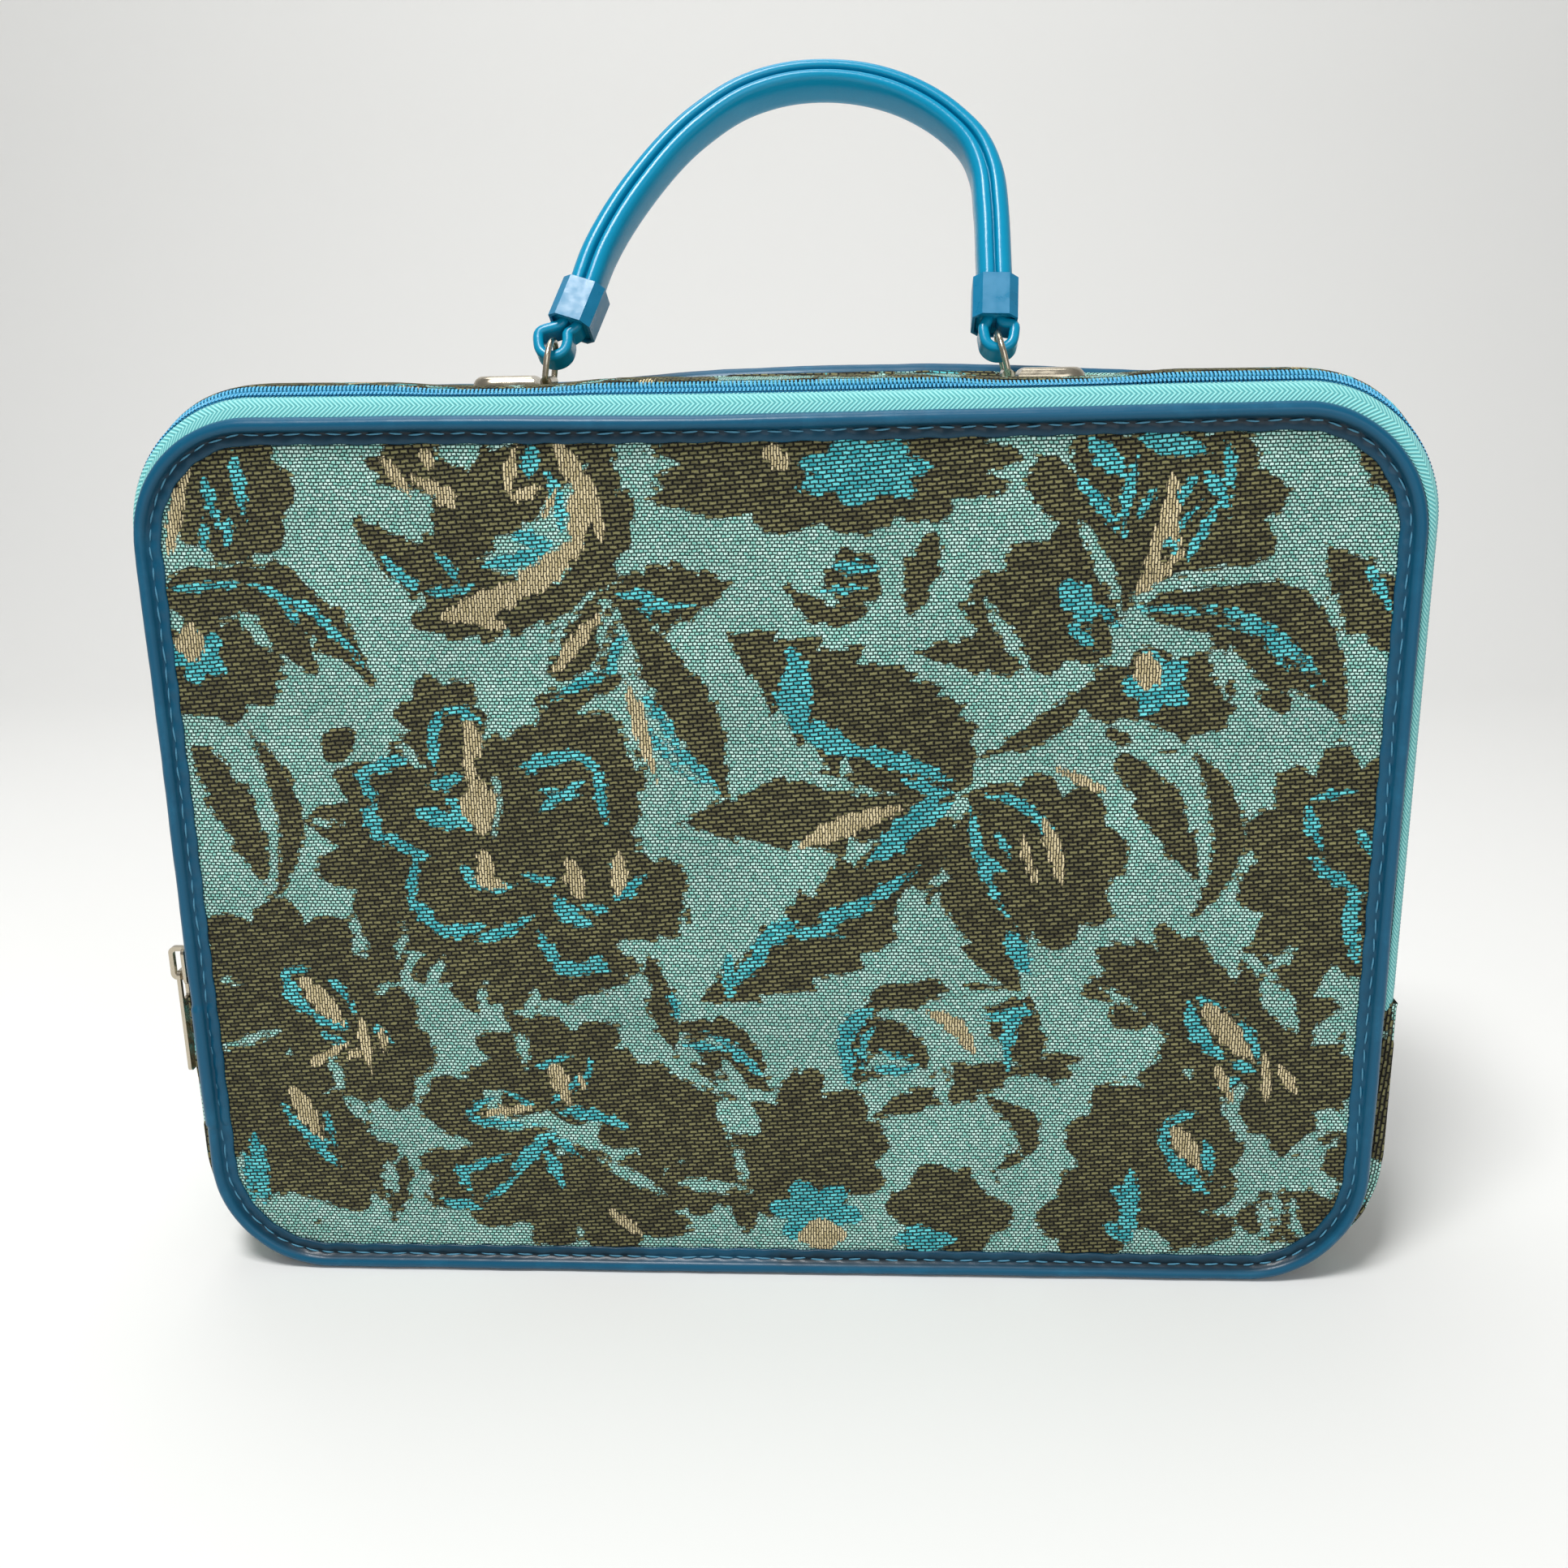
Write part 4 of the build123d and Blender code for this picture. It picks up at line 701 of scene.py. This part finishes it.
def stitches(name, shape, face, body):
    """A row of lock stitches 5.2 mm in from the edge: each a capsule of six rings and five sides, as long as
    0.8 of the pitch, dipping into the vinyl at both ends by a cosine."""
    total = outline(shape)[2][-1]
    count = int(round(total / STITCH_PITCH))
    rng = np.random.default_rng(4)
    u = np.linspace(-1, 1, 6)
    reach = 0.4 * STITCH_PITCH * (1 + 0.06 * rng.standard_normal((count, 1)))
    along = np.arange(count)[:, None] / count * total + reach * u
    offset = 5.2 + 0.12 * rng.standard_normal((count, 1)) + 0.18 * u * rng.choice([-1, 1], (count, 1))
    tracked = [part[..., None] for part in track(shape, shares_at(shape, along))]
    thick = 0.33 * np.sqrt(np.maximum(1 - u**2, 0.03))[:, None]
    height = 0.56 + 0.24 * np.cos(u * np.pi / 2)[:, None]
    turn = np.arange(5) / 5 * 2 * np.pi
    y = -face * (BEAD_Y + height + thick * np.sin(turn))
    points = sag(beside(tracked, offset[..., None] + thick * np.cos(turn), y))
    points = swayed(points) if face > 0 else points[..., ::-1, :]
    return piece(name, points, body, THREAD, wrap_v=True)


front_edge = binding("front_corded_binding", FRONT, 1, None)
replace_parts(front_edge, "front_binding", "front_binding_lower")
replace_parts(binding("back_corded_binding", BACK, -1, "case"), "back_binding")
for folded in (front_edge, stitches("front_stitching", FRONT, 1, None)):
    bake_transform(folded)
stitches("back_stitching", BACK, -1, "case")


def zip_tape(name, body, rows, node):
    """A woven tape: its profile of (inset, y, outline share) rows carried along both outlines above the fold.
    A row lies between the front outline at share 0 and the band's at share 1."""
    t = stretch(BAND, 3.0, True, FOLD + 0.3)
    inset, y, share = np.array(rows).T[..., None]
    on_front, on_band = (beside(track(shape, t), inset, y) for shape in (FRONT, BAND))
    points = on_front * (1 - share[..., None]) + on_band * share[..., None]
    uv = np.stack(np.meshgrid(travelled(points[:, 10]), track(BAND, t)[4], indexing="ij")[::-1], -1)
    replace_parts(piece(name, sag(points), body, TAPE, uv=uv), node)


zip_tape(
    "lid_woven_tape", "lid",
    [(1.7, -43.2, 0.05), (1.05, -43.35, 0), (0.95, -42.9, 0.22), (0.9, -42.3, 0.5), (0.9, -41.7, 0.76),
     (0.95, -41.2, 1), (1.0, -40.4, 1), (1.0, -39.6, 1), (1.0, -38.9, 1), (1.3, -38.75, 1), (1.7, -38.9, 1)],
    "lid_zip_tape",
)
zip_tape(
    "body_woven_tape", "case",
    [(1.7, -33.3, 1), (1.3, -33.5, 1), (1.0, -33.4, 1), (1.05, -32.5, 1), (1.1, -30, 1), (1.1, -27, 1),
     (1.3, -25.4, 1)],
    "body_zip_tape",
)


def coil(name, body, y_base, toward, shift, node):
    """A row of nylon coil: each turn is a wire bent to a U, eight stations of a round section with four
    sides. Along the turn, the reach towards the other row goes as a sine and the height as a cosine."""
    low, high = passes(BAND, FOLD + 4.0)
    centre = low + (np.arange(int((high - low) / COIL_PITCH)) + shift) * COIL_PITCH
    w = np.linspace(-0.12, 1.12, 8) * np.pi
    bent = np.clip(w, 0, np.pi)
    reach = 1.95 * np.maximum(np.sin(bent), 0) ** 0.7 + np.minimum(np.sin(w), 0) * 1.5
    lift = 0.85 * np.cos(bent)
    wire = 0.4 * (1 + 0.35 * np.sin(bent) ** 6)
    turn = (np.arange(4) + 0.5) / 4 * 2 * np.pi
    lean = 0.16 * np.cos(bent) * COIL_PITCH
    along = centre[:, None, None] + lean[:, None] + wire[:, None] * np.cos(turn) * 1.15
    dr, dl = np.gradient(reach), np.gradient(lift)
    round_off = (wire / (np.hypot(dr, dl) + 1e-6))[:, None] * np.sin(turn)
    out = lift[:, None] - dr[:, None] * round_off
    over = reach[:, None] + dl[:, None] * round_off
    points = sag(beside(track(BAND, shares_at(BAND, along)), 1.35 - out, y_base + toward * over))
    if toward > 0:
        points = points[..., ::-1, :]
    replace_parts(piece(name, points, body, COIL, wrap_v=True), node)


coil("lid_coil", "lid", -38.8, 1, 0.0, "lid_zip_row")
coil("body_coil", "case", -33.4, -1, 0.5, "body_zip_row")

# Handle, in its own plane: u across, v up along the lean

LEAN = math.radians(28)
SWING_Z = 306.086


def leaned(u, v, w):
    """From the handle's plane, with w out of it towards the viewer, to the bag's frame."""
    return np.stack(
        [u, v * math.sin(LEAN) - w * math.cos(LEAN), SWING_Z + v * math.cos(LEAN) + w * math.sin(LEAN)], -1
    )


def through(points, count):
    """A smooth curve through points: a cubic in the chord length, with the slope at each point taken from
    its neighbours, sampled evenly by length. Returns the samples, the way ahead at each, and the length."""
    p = np.array(points, float)
    chord = travelled(p)
    slope = np.gradient(p, chord, axis=0)
    fine = np.linspace(0, chord[-1], 1200)
    k = np.clip(np.searchsorted(chord, fine) - 1, 0, len(p) - 2)
    h = (chord[k + 1] - chord[k])[:, None]
    s = (fine - chord[k])[:, None] / h
    curve = (
        (2 * s**3 - 3 * s**2 + 1) * p[k] + (s**3 - 2 * s**2 + s) * h * slope[k]
        + (3 * s**2 - 2 * s**3) * p[k + 1] + (s**3 - s**2) * h * slope[k + 1]
    )
    run = travelled(curve)
    even = np.linspace(0, run[-1], count)
    line = np.stack([np.interp(even, run, curve[:, axis]) for axis in (0, 1)], 1)
    ahead = np.gradient(line, axis=0)
    return line, ahead / np.linalg.norm(ahead, axis=1)[:, None], even


def swept(name, points, count, section):
    """A vinyl piece of the handle: a closed section, of n across the strap in its plane and w out of it at
    each length, carried along the curve through the points; the ends close on their middles."""
    line, ahead, even = through(points, count)
    n, w = section(even)
    u = line[:, :1] + n * ahead[:, 1:]
    v = line[:, 1:] - n * ahead[:, :1]
    ends = np.ones((2, 1, n.shape[1]))
    u, v, w = (
        np.vstack([ends[0] * first, grid, ends[1] * last])
        for grid, first, last in ((u, line[0, 0], line[-1, 0]), (v, line[0, 1], line[-1, 1]), (w, 0, 0))
    )
    made = piece(name, leaned(u, v, w), "handle", HANDLE, wrap_v=True)
    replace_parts(made, "handle_strap")


def strap_section(along):
    """Two padded layers: a rounded rectangle, with a groove down both faces where the layers meet, and
    thinner over the top of the handle than in its legs."""
    share = along / along[-1]
    half = np.interp(share, [0, 0.12, 0.5, 0.72, 0.84, 1], [5.3, 5.4, 4.8, 5.0, 5.7, 5.8])
    half_face = np.array([1, 0.992, 0.965, 0.91, 0.82, 0.7, 0.56, 0.42, 0.3, 0.2, 0.13, 0.08, 0.04])
    face = np.concatenate([half_face, [0.0], -half_face[::-1]])
    n = np.concatenate([face, face[-2:0:-1]])
    w = (1 - np.abs(n) ** 3.6) ** (1 / 3.6) * np.concatenate([np.ones(len(face)), -np.ones(len(face) - 2)])
    wide = 6.5 * w * (1 - 0.34 * np.exp(-(n / 0.085) ** 2) + 0.05 * np.exp(-((np.abs(n) - 0.5) / 0.28) ** 2))
    wave = 1 + 0.012 * ripple(along, 0, 26, 2)
    fuller = np.interp(share, [0, 0.1, 0.5, 0.9, 1], [1, 1.05, 1.12, 1.05, 1])
    return (half * wave)[:, None] * n, fuller[:, None] * wide


def squared(wave, power):
    """A sine wave drawn out towards a square one."""
    return np.sign(wave) * np.abs(wave) ** power


def loop_section(along):
    """A folded strand 9 mm wide and 3.8 mm thick with a raised round edge on each side."""
    turn = np.linspace(0, 2 * np.pi, 28, endpoint=False)
    n, w = squared(np.cos(turn), 0.6), squared(np.sin(turn), 0.5)
    thick = 1.9 * n * (0.86 + 0.16 * np.exp(-((np.abs(w) - 0.78) / 0.16) ** 2))
    return np.tile(thick, (len(along), 1)), np.tile(4.5 * w, (len(along), 1))


def root_section(along):
    """A squared tube 12 by 13.2 mm that the strands of a loop come out of."""
    turn = np.linspace(0, 2 * np.pi, 24, endpoint=False)
    n, w = 6.0 * squared(np.cos(turn), 0.5), 6.6 * squared(np.sin(turn), 0.5)
    return np.tile(n, (len(along), 1)), np.tile(w, (len(along), 1))


STRAP_LINE = [
    (-66.8, 15.4), (-65.3, 19.7), (-58.9, 40.3), (-46.2, 63.9), (-26.3, 87.6), (-12.0, 97.6), (2, 102.2),
    (17, 103.1), (30.6, 101.0), (44.6, 95.4), (58, 85.4), (65.6, 76.0), (69.2, 66), (70.6, 52), (71.0, 36),
    (71.06, 18.47), (70.9, 14.0),
]
swept("handle_padded_strap", STRAP_LINE, 190, strap_section)

# At each end of the strap: the clip's place, its lean to the right in degrees, the middle of the loop below
CLIPS = {"left": ((-65.3, 19.7), 19.0, -72.9), "right": ((71.06, 18.47), 2.0, 72.1)}
for side, (clip, lean_angle, middle) in CLIPS.items():
    up = np.array([math.sin(math.radians(lean_angle)), math.cos(math.radians(lean_angle))])
    across = np.array([up[1], -up[0]])
    legs = []
    for half in (-1, 1):
        root = np.array(clip) + across * half * 2.5
        legs.append([root - up * 2.5, root - up * 7.55, (middle + half * LOOP_R, 9.4), (middle + half * LOOP_R, 6.6)])
    arc = np.radians([215, 245, 270, 295, 325])
    bottom = [(middle + LOOP_R * math.cos(a), 6.3 + LOOP_R * math.sin(a)) for a in arc]
    swept(f"handle_loop_{side}", legs[0] + bottom + legs[1][::-1], 64, loop_section)
    swept(f"handle_root_{side}", [clip - up * 6.4, clip + up * 3.5], 5, root_section)


# Lining of the side band

def band_inside():
    """The cotton lining of the side band: a flat strip carried round the outline 4.1 mm in, and turned in
    over the edge of the back's lining."""
    t = stretch(BAND, 8.0)
    tracked = track(BAND, np.append(t, t[0]))
    inset = np.concatenate([np.full(20, 4.1), [4.5, 6.5, 11.0]])
    y = np.concatenate([np.linspace(-41.2, 41.2, 20), [41.9, 42.2, 42.3]])
    points = beside(tracked, inset[:, None], y[:, None])
    length, depth = np.meshgrid(np.append(tracked[4][:-1], 1400), y)
    uv = np.stack([length, depth], -1)
    return piece("side_band_lining", points[::-1], "case", LINING, uv=uv[::-1])


inner = band_inside()
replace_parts(inner, "gusset_lining")

# Rigid parts keep their CAD shapes
FINISHES = (
    (BOARD, ("front_board", "front_board_lower", "back_board", "gusset_stiffener")),
    (NICKEL, ("zip_slider", "zip_pull", "handle_plate_left", "handle_plate_right", "ring_left", "ring_right")),
    (STEEL, ("handle_rivets_left", "handle_rivets_right", "handle_washer_left", "handle_washer_right")),
    (CLIP, ("handle_clip_left", "handle_clip_right")),
)
for finish, nodes in FINISHES:
    for node in nodes:
        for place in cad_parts[node].material_slots:
            place.material = finish


# Floor, camera and light

def studio_floor():
    """A flat sheet of paper that curves up behind the bag by a quarter circle of 600 mm radius."""
    s = np.linspace(0, np.pi / 2, 40)
    y = np.concatenate([[-2500], 900 + 600 * np.sin(s), [1500.0]])
    z = np.concatenate([[0.0], 600 - 600 * np.cos(s), [3200.0]])
    x, y = np.meshgrid([3000.0, -3000.0], y)
    paper = bpy.data.materials.new("studio_paper")
    paper.use_nodes = True
    paper.node_tree.nodes.clear()
    surfaced(paper, {"Base Color": linear("#e9e9e7"), "Roughness": 0.9})
    piece("studio_floor", np.stack([x, y, np.repeat(z[:, None], 2, 1)], -1), None, paper)


studio_floor()

world = bpy.data.worlds.new("pale_studio")
bpy.context.scene.world = world
world.use_nodes = True
sky = world.node_tree
sky.nodes.clear()
add(sky, "OutputWorld", {"Surface": add(sky, "MixShader", {
    0: add(sky, "LightPath", {}, out="Is Camera Ray"),
    1: add(sky, "Background", {"Color": linear("#ffffff"), "Strength": 0.3}),
    2: add(sky, "Background", {"Color": linear("#e6e8ea"), "Strength": 1.0}),
})})


def softbox(name, place, target, size, power):
    """A square soft light that faces a point."""
    lamp = bpy.data.lights.new(name, "AREA")
    lamp.size = size
    lamp.energy = power
    thing = bpy.data.objects.new(name, lamp)
    bpy.context.scene.collection.objects.link(thing)
    back = np.array(place, float) - np.array(target, float)
    back /= np.linalg.norm(back)
    side = np.cross((0, 0, 1), back)
    side /= np.linalg.norm(side)
    rise = np.cross(back, side)
    thing.matrix_world = Matrix(np.vstack([np.column_stack([side, rise, back, place]), [0, 0, 0, 1]]).tolist())


softbox("key_light", (-0.35, -0.75, 2.0), (0, 0, 0.15), 0.5, 34.0)
softbox("fill_light", (0.7, -1.8, 0.9), (0, 0, 0.15), 1.2, 9.0)
softbox("top_light", (-0.2, 0.5, 1.6), (0, 0, 0.2), 0.9, 7.0)

lens = bpy.data.cameras.new("camera")
lens.lens = 35.963
lens.sensor_width = 36.0
camera = bpy.data.objects.new("camera", lens)
bpy.context.scene.collection.objects.link(camera)
camera.matrix_world = Matrix((
    (0.9985543, 0.0022988, 0.0537030, 0.02969),
    (0.0511484, 0.2665480, -0.9624635, -0.52733),
    (-0.0165270, 0.9638189, 0.2660451, 0.30893),
    (0, 0, 0, 1),
))
bpy.context.scene.camera = camera
bpy.context.scene.view_settings.view_transform = "Standard"
